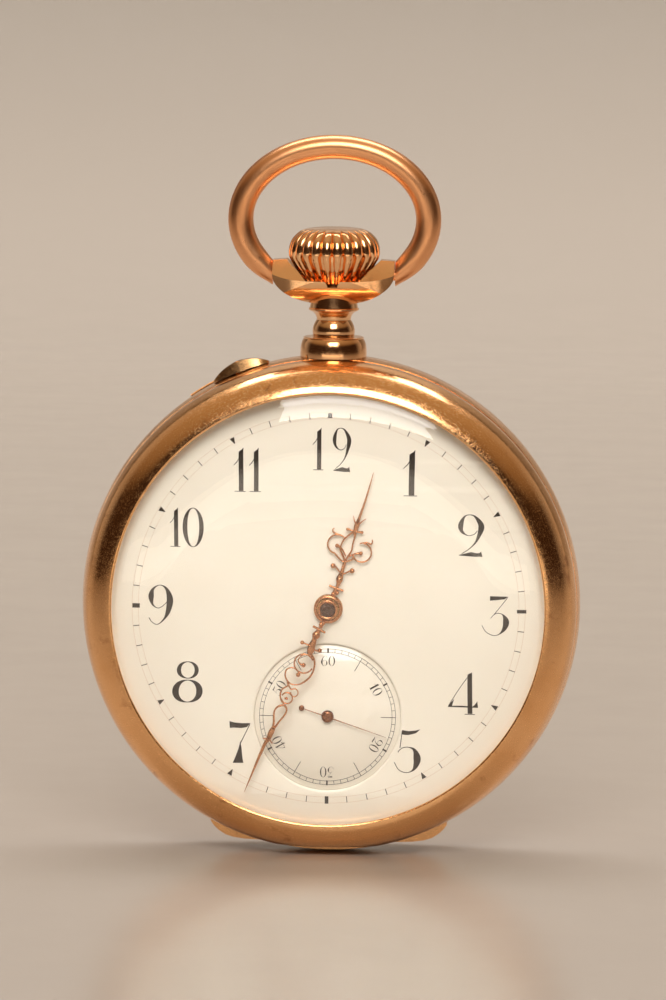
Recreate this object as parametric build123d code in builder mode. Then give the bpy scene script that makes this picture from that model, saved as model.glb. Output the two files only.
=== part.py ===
from build123d import *
import math
import os

os.makedirs("parts", exist_ok=True)

# Open-face keyless pocket watch, 19 ligne, pin-set, standing upright.
# +Z is up, the dial faces -Y, +X is to the wearer's right of the dial.
# Heights across the movement are written as h: h = 0 is the dial side of the
# main plate, positive towards the crystal, negative towards the case back.

# ---------------------------------------------------------------- dimensions
CASE_R = 25.0            # outer radius of the case band
YD = -1.55               # y of the h = 0 plane
ZC = 25.0                # height of the dial centre above the lowest point
STEM_H = -2.9            # depth of the winding stem axis
BEZEL_R = 24.7           # outer radius of the front bezel
OPENING_R = 21.55        # clear radius inside the bezel lip
DIAL_R = 22.1
SECONDS_Y = -10.9        # seconds axis below the dial centre
SECONDS_R = 7.3          # radius of the sunk seconds dial
BAND_BACK = -3.9         # rear face of the case band
LID_BACK = -8.1          # rear face of the back lid
LID_WALL = 0.5
HINGE_Z, HINGE_H, HINGE_R = -23.35, -4.65, 0.75
PLATE_R = 20.0
PLATE_BACK = -1.8
BRIDGE_LO, BRIDGE_HI = -4.6, -5.6
PENDANT_HEAD_Z = 31.9
BOW_PIVOT_Z, BOW_CENTRE_Z = 33.0, 38.5
BOW_A, BOW_B, BOW_WIRE = 9.38, 7.22, 2.55
CROWN_R = 4.57
PIN_ANGLE = 21.6         # setting pin, degrees left of twelve

# teeth and modules of the wheels
Z_BARREL, Z_CENTRE_P, M_BARREL = 72, 9, 0.2
Z_CENTRE, Z_THIRD_P, M_CENTRE = 64, 8, 0.18
Z_THIRD, Z_FOURTH_P, M_THIRD = 60, 8, 0.15
Z_FOURTH, Z_ESCAPE_P, M_FOURTH = 70, 7, 0.135
Z_CANNON, Z_MINUTE, M_CANNON = 12, 36, 0.2
Z_MINUTE_P, Z_HOUR, M_HOUR = 10, 40, 0.192
Z_SETTING = 20
Z_CROWN_W, Z_RATCHET, M_RATCHET = 28, 32, 0.3
Z_WINDING = 18

# ------------------------------------------------------------------- layout
C = (0.0, 0.0)
F = (0.0, SECONDS_Y)
D_BC = M_BARREL * (Z_BARREL + Z_CENTRE_P) / 2
D_CT = M_CENTRE * (Z_CENTRE + Z_THIRD_P) / 2
D_TF = M_THIRD * (Z_THIRD + Z_FOURTH_P) / 2
D_FE = M_FOURTH * (Z_FOURTH + Z_ESCAPE_P) / 2
BB = (D_BC * math.cos(math.radians(40)), D_BC * math.sin(math.radians(40)))
TY = (D_CT**2 - D_TF**2 + SECONDS_Y**2) / (2 * SECONDS_Y)
T = (math.sqrt(D_CT**2 - TY**2), TY)
E = (F[0] + D_FE * math.cos(math.radians(164.4)), F[1] + D_FE * math.sin(math.radians(164.4)))
B = (-12.2, -2.5)
EB = math.hypot(B[0] - E[0], B[1] - E[1])
U = ((B[0] - E[0]) / EB, (B[1] - E[1]) / EB)     # from escape wheel to balance
W = (-U[1], U[0])
P = (E[0] + 4.2 * U[0], E[1] + 4.2 * U[1])       # pallet arbor
D_KR = M_RATCHET * (Z_CROWN_W + Z_RATCHET) / 2
K = (0.0, BB[1] + math.sqrt(D_KR**2 - BB[0] ** 2))
S = (0.0, 9.95)
D_CM = M_CANNON * (Z_CANNON + Z_MINUTE) / 2
D_MS = M_CANNON * (Z_MINUTE + Z_SETTING) / 2
MY = (D_CM**2 - D_MS**2 + S[1] ** 2) / (2 * S[1])
M = (-math.sqrt(D_CM**2 - MY**2), MY)
V = (-11.5, 14.0)                                # yoke pivot
COCK_FOOT = (-12.6, -12.3)
PALLET_FOOT = (P[0] - 3.6 * W[0], P[1] - 3.6 * W[1])
if math.hypot(PALLET_FOOT[0] - C[0], PALLET_FOOT[1]) < math.hypot(P[0], P[1]):
    PALLET_FOOT = (P[0] + 3.6 * W[0], P[1] + 3.6 * W[1])
CLICK = (BB[0] + 6.3 * math.cos(math.radians(52)), BB[1] + 6.3 * math.sin(math.radians(52)))

DIAL = Plane(origin=(0, YD, ZC), x_dir=(1, 0, 0), z_dir=(0, -1, 0))
SECTION = Plane(origin=(0, YD, ZC), x_dir=(1, 0, 0), z_dir=(0, 0, -1))
DIAL_AXIS = Axis((0, YD, ZC), (0, -1, 0))
YS = YD - STEM_H
STEM = Plane(origin=(0, YS, ZC), x_dir=(1, 0, 0), z_dir=(0, -1, 0))
STEM_AXIS = Axis((0, YS, ZC), (0, 0, 1))
FLAT = Plane(origin=(0, YS, ZC), x_dir=(1, 0, 0), z_dir=(0, 0, 1))


def direction(a, b):
    return math.degrees(math.atan2(b[1] - a[1], b[0] - a[0]))


def gear(n, module, phase, add=0.85, ded=1.1, fill=0.42):
    """Outline of a small cut wheel: four points for each tooth."""
    rp = n * module / 2
    ro, ri = rp + add * module, rp - ded * module
    step = 2 * math.pi / n
    pts = []
    for k in range(n):
        a = math.radians(phase) + k * step
        for r, w in ((ri, 0.30), (ro, -0.13), (ro, 0.13), (ri, -0.30)):
            s = -w * fill / 0.5 if r == ri else w * fill / 0.5
            pts.append((r * math.cos(a + s * step), r * math.sin(a + s * step)))
    return pts


def arm_points(inner, outer, n, width):
    return [(inner + outer) / 2, outer - inner, width, n]


def spiral(r0, r1, turns, w, steps=20):
    """Closed outline of a flat spiral strip."""
    n = int(turns * steps)
    out, back = [], []
    for i in range(n + 1):
        a = 2 * math.pi * i / steps
        r = r0 + (r1 - r0) * i / n
        out.append(((r + w / 2) * math.cos(a), (r + w / 2) * math.sin(a)))
        back.append(((r - w / 2) * math.cos(a), (r - w / 2) * math.sin(a)))
    return out + back[::-1]


def at(h, p):
    """Plane at height h with its origin over the layout point p."""
    return Plane(origin=(p[0], YD - h, ZC + p[1]), x_dir=(1, 0, 0), z_dir=(0, -1, 0))


# =========================================================== CASE AND BAND
# Hinge block outline: straight lower edge, ends swept up into two ears.
EAR = [(-6.8, -24.12), (-8.5, -24.05), (-9.6, -23.9), (-10.4, -23.65), (-11.1, -23.2), (-11.6, -22.72),
       (-11.9, -22.3), (-11.9, -21.5), (11.9, -21.5), (11.9, -22.3), (11.6, -22.72), (11.1, -23.2),
       (10.4, -23.65), (9.6, -23.9), (8.5, -24.05), (6.8, -24.12)]
BAND_KNUCKLES = ((-5.55, 2.7), (0.0, 3.6), (5.55, 2.7))
LID_KNUCKLES = ((-7.9, 1.9), (7.9, 1.9))
CUVETTE_KNUCKLES = ((-3.0, 2.3), (3.0, 2.3))

with BuildPart() as case_band:
    with BuildSketch(SECTION):
        with BuildLine():
            Polyline((21.5, 0.8), (23.3, 0.8), (23.45, 0.6), (23.45, -0.6), (24.75, -0.6))
            ThreePointArc((24.75, -0.6), (25.0, -2.5), (24.93, -3.9))
            Polyline((24.93, -3.9), (23.1, -3.9), (23.1, -3.5), (22.3, -3.5), (21.5, -2.9),
                     (20.9, -2.6), (20.9, -1.8), (21.5, -1.8), (21.5, 0.8))
        make_face()
    revolve(axis=DIAL_AXIS)
    # bore for the setting pin
    with BuildSketch(Plane(origin=(0, YD + 2.25, ZC), x_dir=(0, 1, 0),
                           z_dir=(-math.sin(math.radians(PIN_ANGLE)), 0, math.cos(math.radians(PIN_ANGLE)))).offset(19.3)):
        Circle(0.47)
    extrude(amount=7, mode=Mode.SUBTRACT)
    # hinge block under the band, seen as two ears beside six o'clock
    with BuildSketch(DIAL.offset(-3.9)):
        with BuildLine():
            Polyline(*EAR, close=True)
        make_face()
        Circle(23.2, mode=Mode.SUBTRACT)
    extrude(amount=1.9)
    for kx, kw in BAND_KNUCKLES:
        with BuildSketch(Plane(origin=(kx - kw / 2, YD - HINGE_H, ZC + HINGE_Z), x_dir=(0, 1, 0), z_dir=(1, 0, 0))):
            Circle(HINGE_R)
            with Locations((-0.4, -0.175)):
                Rectangle(0.75, 1.1)
        extrude(amount=kw)
    with BuildSketch(Plane(origin=(-9.2, YD - HINGE_H, ZC + HINGE_Z), x_dir=(0, 1, 0), z_dir=(1, 0, 0))):
        Circle(0.36)
    extrude(amount=18.4, mode=Mode.SUBTRACT)
    # bore for the winding stem
    with BuildSketch(FLAT.offset(18)):
        Circle(0.72)
    extrude(amount=10, mode=Mode.SUBTRACT)
case_band.part.label = "case_band"
export_step(case_band.part, "parts/case_band.step")

# Snap-on front bezel with the crystal's groove.
with BuildPart() as front_bezel:
    with BuildSketch(SECTION):
        with BuildLine():
            Polyline((21.75, 2.05), (21.75, 2.82), (22.36, 2.84), (22.36, 3.2), (OPENING_R, 3.64), (21.6, 3.84))
            Spline((21.6, 3.84), (21.8, 3.88), (22.35, 3.68), (23.0, 3.27), (23.65, 2.66), (24.2, 1.85), (24.55, 0.9),
                   (BEZEL_R, -0.2))
            Polyline((BEZEL_R, -0.2), (24.6, -0.52), (23.5, -0.52), (23.5, 0.9), (22.9, 0.95), (22.7, 2.05),
                     (21.75, 2.05))
        make_face()
    revolve(axis=DIAL_AXIS)
    # flat at six o'clock in line with the hinge block
    with BuildSketch(DIAL.offset(-2)):
        with Locations((0, -24.08 - 3)):
            Rectangle(40, 6)
    extrude(amount=8, mode=Mode.SUBTRACT)
front_bezel.part.label = "front_bezel"
export_step(front_bezel.part, "parts/front_bezel.step")

# Thick mineral crystal, flat in the middle with a broad straight bevel.
with BuildPart() as crystal:
    with BuildSketch(SECTION):
        with BuildLine():
            Polyline((0, 4.1), (0, 5.0), (16.6, 5.0), (19.4, 4.28), (21.5, 3.58), (22.33, 3.15), (22.33, 2.87), (21.5, 2.87))
            Spline((21.5, 2.87), (20.6, 3.35), (19.2, 3.72), (17, 3.86), (12, 4.0), (6, 4.08), (0, 4.1), tangents=((-0.8, 0.6), (-1, 0)))
        make_face()
    revolve(axis=DIAL_AXIS)
crystal.part.label = "crystal"
export_step(crystal.part, "parts/crystal.step")

# ------------------------------------------------------ back lid and cuvette
LID_CHORD = -22.55
with BuildPart() as back_lid:
    with BuildSketch(SECTION):
        with BuildLine():
            Polyline((0, LID_BACK), (13.5, LID_BACK))
            Spline((13.5, LID_BACK), (17.5, -7.98), (21.2, -7.5), (23.8, -6.4), (24.8, -5.0), (24.93, -3.95),
                   tangents=((1, 0), (0, 1)))
            Polyline((24.93, -3.95), (0, -3.95), (0, LID_BACK))
        make_face()
    revolve(axis=DIAL_AXIS)
    with BuildSketch(DIAL.offset(-9)):
        with Locations((0, LID_CHORD - 5)):
            Rectangle(60, 10)
    extrude(amount=6, mode=Mode.SUBTRACT)
    with BuildPart(mode=Mode.PRIVATE) as lid_hollow:
        with BuildSketch(SECTION):
            with BuildLine():
                Polyline((0, -7.6), (13.4, -7.6))
                Spline((13.4, -7.6), (17.3, -7.47), (20.9, -7.01), (23.35, -5.98), (24.28, -4.8), (24.4, -3.9),
                       tangents=((1, 0), (0, 1)))
                Polyline((24.4, -3.9), (0, -3.9), (0, -7.6))
            make_face()
        revolve(axis=DIAL_AXIS)
        with BuildSketch(DIAL.offset(-9)):
            with Locations((0, LID_CHORD + 0.4 - 5)):
                Rectangle(60, 10)
        extrude(amount=6, mode=Mode.SUBTRACT)
    add(lid_hollow.part, mode=Mode.SUBTRACT)
    # the wall over the cuvette knuckles is relieved
    with BuildSketch(DIAL.offset(-5.75)):
        with Locations((0, -22.3)):
            Rectangle(13.0, 1.2)
    extrude(amount=2.5, mode=Mode.SUBTRACT)
    for kx, kw in LID_KNUCKLES:
        with BuildSketch(Plane(origin=(kx - kw / 2 + 0.04, YD - HINGE_H, ZC + HINGE_Z), x_dir=(0, 1, 0), z_dir=(1, 0, 0))):
            Circle(HINGE_R)
            with Locations((0.15, 0.6)):
                Rectangle(1.2, 1.2)
            Circle(0.36, mode=Mode.SUBTRACT)
        extrude(amount=kw - 0.08)
    # thumb lip at the top edge
    with BuildSketch(DIAL.offset(-5.1)):
        with BuildLine():
            CenterArc((0, 0), 25.15, 118, 7)
            Line(CenterArc((0, 0), 25.15, 118, 7, mode=Mode.PRIVATE) @ 1, CenterArc((0, 0), 24.5, 118, 7, mode=Mode.PRIVATE) @ 1)
            CenterArc((0, 0), 24.5, 118, 7)
            Line(CenterArc((0, 0), 25.15, 118, 7, mode=Mode.PRIVATE) @ 0, CenterArc((0, 0), 24.5, 118, 7, mode=Mode.PRIVATE) @ 0)
        make_face()
    extrude(amount=0.8)
back_lid.part.label = "back_lid"
export_step(back_lid.part, "parts/back_lid.step")

# Inner dust cover.
with BuildPart() as cuvette:
    with BuildSketch(SECTION):
        with BuildLine():
            Polyline((0, -7.2), (8, -7.2))
            Spline((8, -7.2), (15, -7.1), (19.6, -6.7), (22.2, -5.7), (22.85, -4.8), (22.95, -4.0),
                   tangents=((1, 0), (0, 1)))
            Polyline((22.95, -4.0), (0, -4.0), (0, -7.2))
        make_face()
    revolve(axis=DIAL_AXIS)
    with BuildSketch(DIAL.offset(-9)):
        with Locations((0, -21.95 - 5)):
            Rectangle(60, 10)
    extrude(amount=6, mode=Mode.SUBTRACT)
    with BuildPart(mode=Mode.PRIVATE) as cuvette_hollow:
        with BuildSketch(SECTION):
            with BuildLine():
                Polyline((0, -6.88), (8, -6.88))
                Spline((8, -6.88), (14.9, -6.78), (19.3, -6.4), (21.85, -5.45), (22.5, -4.65), (22.6, -3.95),
                       tangents=((1, 0), (0, 1)))
                Polyline((22.6, -3.95), (0, -3.95), (0, -6.88))
            make_face()
        revolve(axis=DIAL_AXIS)
        with BuildSketch(DIAL.offset(-9)):
            with Locations((0, -21.6 - 5)):
                Rectangle(60, 10)
        extrude(amount=6, mode=Mode.SUBTRACT)
    add(cuvette_hollow.part, mode=Mode.SUBTRACT)
    for kx, kw in CUVETTE_KNUCKLES:
        with BuildSketch(Plane(origin=(kx - kw / 2 + 0.04, YD - HINGE_H, ZC + HINGE_Z), x_dir=(0, 1, 0), z_dir=(1, 0, 0))):
            Circle(HINGE_R)
            with Locations((0.1, 0.8)):
                Rectangle(0.7, 1.6)
            Circle(0.36, mode=Mode.SUBTRACT)
        extrude(amount=kw - 0.08)
cuvette.part.label = "cuvette"
export_step(cuvette.part, "parts/cuvette.step")

with BuildPart() as lid_hinge_pin:
    with BuildSketch(Plane(origin=(-8.8, YD - HINGE_H, ZC + HINGE_Z), x_dir=(0, 1, 0), z_dir=(1, 0, 0))):
        Circle(0.33)
    extrude(amount=17.6)
lid_hinge_pin.part.label = "lid_hinge_pin"
export_step(lid_hinge_pin.part, "parts/lid_hinge_pin.step")

# ================================================================= PENDANT
with BuildPart() as pendant:
    with BuildSketch(STEM):
        with BuildLine():
            Polyline((1.02, 23.6), (3.1, 23.6))
            Spline((3.1, 23.6), (3.3, 24.6), (3.32, 25.5), (3.2, 26.2), (3.0, 26.62))
            Polyline((3.0, 26.62), (3.04, 26.72), (2.9, 26.8), (2.05, 26.86))
            Spline((2.05, 26.86), (2.12, 27.35), (1.98, 28.0), (1.7, 28.5))
            Spline((1.7, 28.5), (1.8, 28.9), (2.45, 29.42))
            Polyline((2.45, 29.42), (2.53, 29.5), (2.53, 29.62), (2.42, 29.7), (2.2, 30.9), (1.02, 30.9), (1.02, 23.6))
        make_face()
    revolve(axis=STEM_AXIS)
    # boat-shaped head that carries the bow
    with BuildPart(mode=Mode.PRIVATE) as pendant_head:
        with BuildSketch(STEM.offset(-3.9)):
            with BuildLine():
                Spline((-6.08, 33.1), (-5.85, 32.3), (-5.0, 31.42), (-3.8, 30.72), (-2.4, 30.25), (0, 30.05),
                       (2.4, 30.25), (3.8, 30.72), (5.0, 31.42), (5.85, 32.3), (6.08, 33.1))
                Polyline((6.08, 33.1), (6.08, 34.45), (4.52, 34.55), (2.64, 32.5), (-2.64, 32.5), (-4.52, 34.55),
                         (-6.08, 34.45), (-6.08, 33.1))
            make_face()
        extrude(amount=7.8)
        with BuildSketch(FLAT.offset(29)):
            Ellipse(7.7, 3.65)
        extrude(amount=6, mode=Mode.INTERSECT)
        # the hull is rounded underneath
        with BuildSketch(Plane(origin=(-8, YS, ZC + 34.0), x_dir=(0, 1, 0), z_dir=(1, 0, 0))):
            Ellipse(3.85, 3.95)
        extrude(amount=16, mode=Mode.INTERSECT)
        # a slanting facet on each corner of the two ears
        for sx in (-1, 1):
            for sy in (-1, 1):
                with BuildSketch(Plane(origin=(sx * 6.08, YS + sy * 2.2, ZC + 33.15), x_dir=(0, -sy * 0.7071, 0.7071),
                                       z_dir=(sx * 0.126, sy * 0.7015, 0.7015))):
                    Rectangle(12, 12)
                extrude(amount=4, mode=Mode.SUBTRACT)
    add(pendant_head.part)
    with BuildSketch(FLAT.offset(26)):
        Circle(1.02)
    extrude(amount=8, mode=Mode.SUBTRACT)
    with BuildSketch(FLAT.offset(PENDANT_HEAD_Z)):
        Circle(3.3)
    extrude(amount=3.2, taper=-30, mode=Mode.SUBTRACT)
    with BuildSketch(Plane(origin=(-8, YS, ZC + BOW_PIVOT_Z), x_dir=(0, 1, 0), z_dir=(1, 0, 0))):
        Circle(0.6)
    extrude(amount=16, mode=Mode.SUBTRACT)
    # seat on the round case: clear of bezel in front and of the lid behind
    with BuildSketch(DIAL.offset(-0.6)):
        Circle(24.76)
    extrude(amount=8, mode=Mode.SUBTRACT)
    with BuildSketch(DIAL.offset(-3.92)):
        Circle(25.1)
    extrude(amount=-6, mode=Mode.SUBTRACT)
    with BuildSketch(SECTION):
        with BuildLine():
            Polyline((0, -0.6), (24.75, -0.6))
            ThreePointArc((24.75, -0.6), (25.0, -2.5), (24.93, -3.9))
            Polyline((24.93, -3.9), (0, -3.9), (0, -0.6))
        make_face()
    revolve(axis=DIAL_AXIS, mode=Mode.SUBTRACT)
pendant.part.label = "pendant"
export_step(pendant.part, "parts/pendant.step")

with BuildPart() as stem_sleeve:
    with BuildSketch(FLAT.offset(25.2)):
        Circle(0.98)
        Circle(0.72, mode=Mode.SUBTRACT)
    extrude(amount=6.2)
stem_sleeve.part.label = "stem_sleeve"
export_step(stem_sleeve.part, "parts/stem_sleeve.step")

# Round-wire bow, swinging on two studs in the pendant head.
BOW_T = math.degrees(math.asin((BOW_PIVOT_Z - BOW_CENTRE_Z) / BOW_B))
with BuildPart() as bow:
    with BuildLine(STEM):
        bow_path = EllipticalCenterArc((0, BOW_CENTRE_Z), BOW_A, BOW_B, start_angle=BOW_T, arc_size=180 - 2 * BOW_T)
    with BuildSketch(Plane(origin=bow_path @ 0, z_dir=bow_path % 0)):
        Circle(BOW_WIRE / 2)
    sweep(path=bow_path)
    with BuildSketch(Plane(origin=(-6.14, YS, ZC), x_dir=(0, 1, 0), z_dir=(1, 0, 0))):
        with Locations((0, BOW_PIVOT_Z)):
            Rectangle(10, 6)
    extrude(amount=12.28, mode=Mode.SUBTRACT)
    for side in (1, -1):
        with BuildSketch(Plane(origin=(side * 7.0, YS, ZC + BOW_PIVOT_Z), x_dir=(0, 1, 0), z_dir=(-side, 0, 0))):
            Circle(0.55)
        extrude(amount=1.9)
bow.part.label = "bow"
export_step(bow.part, "parts/bow.step")

# ==================================================== CROWN AND KEYLESS WORK
with BuildPart() as crown:
    with BuildSketch(STEM):
        with BuildLine():
            Polyline((0, 37.0), (0, 37.72), (1.5, 37.7))
            Spline((1.5, 37.7), (2.7, 37.58), (3.5, 37.28), (4.2, 36.6), (4.52, 35.8), (CROWN_R, 35.2), (4.4, 34.45),
                   (3.85, 33.5), (3.3, 32.75), (2.9, 32.2))
            Polyline((2.9, 32.2), (0.6, 32.2), (0.6, 37.0), (0, 37.0))
        make_face()
    revolve(axis=STEM_AXIS)
    with BuildSketch(FLAT.offset(32.8)):
        with PolarLocations(CROWN_R + 0.12, 24):
            Circle(0.36)
    extrude(amount=4.0, mode=Mode.SUBTRACT)
crown.part.label = "crown"
export_step(crown.part, "parts/crown.step")

with BuildPart() as winding_stem:
    with BuildSketch(STEM):
        with BuildLine():
            Polyline((0, 10.9), (0.3, 10.9), (0.3, 11.85), (0.55, 11.9), (0.55, 16.95), (0.65, 17.0), (0.65, 25),
                     (0.6, 25.1), (0.6, 37.0), (0, 37.0), close=True)
        make_face()
    revolve(axis=STEM_AXIS)
winding_stem.part.label = "winding_stem"
export_step(winding_stem.part, "parts/winding_stem.step")

with BuildPart() as winding_pinion:
    with BuildSketch(FLAT.offset(15.2)):
        with BuildLine():
            Polyline(*gear(Z_WINDING, 0.285, 0.0), close=True)
        make_face()
        Circle(0.57, mode=Mode.SUBTRACT)
    extrude(amount=1.6)
winding_pinion.part.label = "winding_pinion"
export_step(winding_pinion.part, "parts/winding_pinion.step")

with BuildPart() as sliding_pinion:
    with BuildSketch(FLAT.offset(12.9)):
        Circle(1.6)
        Circle(0.62, mode=Mode.SUBTRACT)
    extrude(amount=2.1)
    with BuildSketch(FLAT.offset(13.7)):
        Circle(1.7)
        Circle(1.05, mode=Mode.SUBTRACT)
    extrude(amount=0.6, mode=Mode.SUBTRACT)
    # crown teeth on the inner end
    with BuildSketch(FLAT.offset(12.8)):
        with PolarLocations(1.6, 12):
            Rectangle(0.9, 0.32)
    extrude(amount=0.4, mode=Mode.SUBTRACT)
sliding_pinion.part.label = "sliding_pinion"
export_step(sliding_pinion.part, "parts/sliding_pinion.step")

PIN_DIR = (-math.sin(math.radians(PIN_ANGLE)), 0, math.cos(math.radians(PIN_ANGLE)))
PIN_PLANE = Plane(origin=(0, YD + 2.25, ZC), x_dir=(0, 1, 0), z_dir=PIN_DIR)
with BuildPart() as setting_pin:
    with BuildSketch(PIN_PLANE.offset(20.85)):
        Circle(0.42)
    extrude(amount=5.15)
    fillet(setting_pin.edges().filter_by(GeomType.CIRCLE).sort_by(Axis.Z)[-1:], radius=0.2)
setting_pin.part.label = "setting_pin"
export_step(setting_pin.part, "parts/setting_pin.step")

with BuildPart() as setting_pin_guard:
    with BuildSketch(PIN_PLANE.offset(24.4)):
        Ellipse(1.0, 3.1)
    extrude(amount=1.7, taper=12)
    # leaf shape: the outer face falls to a point at both ends
    with BuildSketch(DIAL.offset(-4.0)):
        with Locations((-21.33 * math.sin(math.radians(PIN_ANGLE)), 21.33 * math.cos(math.radians(PIN_ANGLE)))):
            Circle(4.72)
    extrude(amount=3.6, mode=Mode.INTERSECT)
    with BuildSketch(PIN_PLANE.offset(24.0)):
        Circle(0.62)
    extrude(amount=3, mode=Mode.SUBTRACT)
    with BuildSketch(DIAL.offset(-0.6)):
        Circle(25.02)
    extrude(amount=-3.3, mode=Mode.SUBTRACT)
setting_pin_guard.part.label = "setting_pin_guard"
export_step(setting_pin_guard.part, "parts/setting_pin_guard.step")

# Setting lever (yoke): pivots at V, is pushed by the pin and slides the pinion.
with BuildPart() as yoke:
    with BuildSketch(DIAL.offset(-3.1)):
        with Locations(V):
            Circle(0.9)
        with BuildLine():
            Polyline((V[0], V[1] - 0.8), (-1.5, 13.8), (-1.12, 13.8), (-1.12, 14.2), (-1.5, 14.2),
                     (-7.6, 14.7), (-9.4, 16.0), (-8.2, 18.75), (-7.3, 19.1), (-7.5, 19.55), (-8.5, 19.6),
                     (V[0] - 0.4, V[1] + 0.85), close=True)
        make_face()
        with Locations(V):
            Circle(0.5, mode=Mode.SUBTRACT)
    extrude(amount=0.4)
yoke.part.label = "yoke"
export_step(yoke.part, "parts/yoke.step")

with BuildPart() as yoke_spring:
    with BuildSketch(DIAL.offset(-3.1)):
        with BuildLine():
            Polyline((-12.9, 12.1), (-11.9, 11.5), (-6.0, 11.9), (-4.3, 12.9), (-4.45, 13.1), (-6.1, 12.15),
                     (-11.6, 11.95), (-12.5, 12.9), close=True)
        make_face()
    extrude(amount=0.4)
    with BuildSketch(DIAL.offset(-3.1)):
        with Locations((-12.6, 11.9)):
            Circle(0.8)
    extrude(amount=1.3)
yoke_spring.part.label = "yoke_spring"
export_step(yoke_spring.part, "parts/yoke_spring.step")

with BuildPart() as setting_wheel:
    with BuildSketch(at(-1.35, S)):
        with BuildLine():
            Polyline(*gear(Z_SETTING, M_CANNON, direction(S, M) + 180.0 / Z_SETTING), close=True)
        make_face()
    extrude(amount=1.7)
    with BuildSketch(at(-1.35, S)):
        Circle(0.5)
    extrude(amount=1.7, mode=Mode.SUBTRACT)
setting_wheel.part.label = "setting_wheel"
export_step(setting_wheel.part, "parts/setting_wheel.step")

# ========================================================== DIAL AND HANDS
with BuildPart() as dial:
    with BuildSketch(DIAL.offset(1.0)):
        Circle(DIAL_R)
        Circle(1.45, mode=Mode.SUBTRACT)
        with Locations(F):
            Circle(SECONDS_R, mode=Mode.SUBTRACT)
    extrude(amount=0.8)
    with BuildSketch(DIAL.offset(1.0)):
        with Locations(F):
            Circle(SECONDS_R + 0.35)
    extrude(amount=0.45, mode=Mode.SUBTRACT)
    with BuildSketch(DIAL.offset(1.0)):
        with Locations((15, 11.5), (-16.5, 9), (3.5, -19.7)):
            Circle(0.5)
    extrude(amount=-0.98)
dial.part.label = "dial"
export_step(dial.part, "parts/dial.step")

with BuildPart() as seconds_dial:
    with BuildSketch(at(1.0, F)):
        Circle(SECONDS_R + 0.33)
        Circle(0.45, mode=Mode.SUBTRACT)
    extrude(amount=0.45)
seconds_dial.part.label = "seconds_dial"
export_step(seconds_dial.part, "parts/seconds_dial.step")

HOUR_A, MINUTE_A, SECOND_A = 17.5, 204.0, 108.5


def hand_plane(h, origin, cw):
    a = math.radians(cw)
    return Plane(origin=(origin[0], YD - h, ZC + origin[1]), x_dir=(math.cos(a), 0, -math.sin(a)), z_dir=(0, -1, 0))


with BuildPart() as hour_hand:
    with BuildSketch(hand_plane(2.1, C, HOUR_A)):
        Circle(1.43)
        with Locations((0, 2.1)):
            Rectangle(0.5, 1.6)
            Rectangle(1.5, 0.32)
        with Locations((0, 4.6)):
            Rectangle(2.0, 0.3)
            Ellipse(0.55, 1.9)
        with Locations((-1.25, 6.0), (1.25, 6.0)):
            Circle(0.95)
            Circle(0.62, mode=Mode.SUBTRACT)
        with Locations((0, 6.6)):
            Ellipse(0.6, 1.9)
            Ellipse(0.3, 1.5, mode=Mode.SUBTRACT)
        with BuildLine():
            Polyline((-0.36, 8.2), (-0.62, 9.3), (-0.2, 9.2), (0, 14.3), (0.2, 9.2), (0.62, 9.3), (0.36, 8.2), close=True)
        make_face()
        Circle(1.3, mode=Mode.SUBTRACT)
    extrude(amount=0.2)
hour_hand.part.label = "hour_hand"
export_step(hour_hand.part, "parts/hour_hand.step")

with BuildPart() as minute_hand:
    with BuildSketch(hand_plane(2.7, C, MINUTE_A)):
        Circle(1.2)
        with Locations((0, 1.95)):
            Rectangle(0.45, 1.8)
            Rectangle(1.2, 0.28)
        with Locations((0, 4.0)):
            Ellipse(0.75, 1.3)
            Ellipse(0.4, 0.9, mode=Mode.SUBTRACT)
        with Locations((-0.7, 5.9), (0.7, 7.2)):
            Circle(0.85)
            Circle(0.55, mode=Mode.SUBTRACT)
        with Locations((0, 6.65)):
            Rectangle(0.4, 4.1)
        with Locations((0, 9.2)):
            Circle(0.65)
            Circle(0.38, mode=Mode.SUBTRACT)
        with Locations((0, 11.2)):
            Ellipse(0.55, 1.5)
            Ellipse(0.3, 1.15, mode=Mode.SUBTRACT)
        with BuildLine():
            Polyline((-0.2, 12.4), (-0.45, 13.6), (-0.17, 13.8), (0, 19.95), (0.17, 13.8), (0.45, 13.6), (0.2, 12.4), close=True)
        make_face()
        Circle(0.72, mode=Mode.SUBTRACT)
    extrude(amount=0.2)
minute_hand.part.label = "minute_hand"
export_step(minute_hand.part, "parts/minute_hand.step")

with BuildPart() as seconds_hand:
    with BuildSketch(hand_plane(1.75, F, SECOND_A)):
        Circle(0.58)
        with BuildLine():
            Polyline((-0.09, -2.8), (-0.13, 0), (-0.04, 6.24), (0.04, 6.24), (0.13, 0), (0.09, -2.8), close=True)
        make_face()
        with Locations((0, -2.8)):
            Circle(0.3)
        Circle(0.17, mode=Mode.SUBTRACT)
    extrude(amount=0.22)
seconds_hand.part.label = "seconds_hand"
export_step(seconds_hand.part, "parts/seconds_hand.step")

# ============================================================ MOTION WORK
with BuildPart() as hour_wheel:
    with BuildSketch(DIAL.offset(0.5)):
        with BuildLine():
            Polyline(*gear(Z_HOUR, M_HOUR, direction(C, M)), close=True)
        make_face()
    extrude(amount=0.25)
    with BuildSketch(DIAL.offset(0.5)):
        Circle(1.28)
    extrude(amount=1.9)
    with BuildSketch(DIAL.offset(0.4)):
        Circle(1.0)
    extrude(amount=2.2, mode=Mode.SUBTRACT)
hour_wheel.part.label = "hour_wheel"
export_step(hour_wheel.part, "parts/hour_wheel.step")

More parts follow.
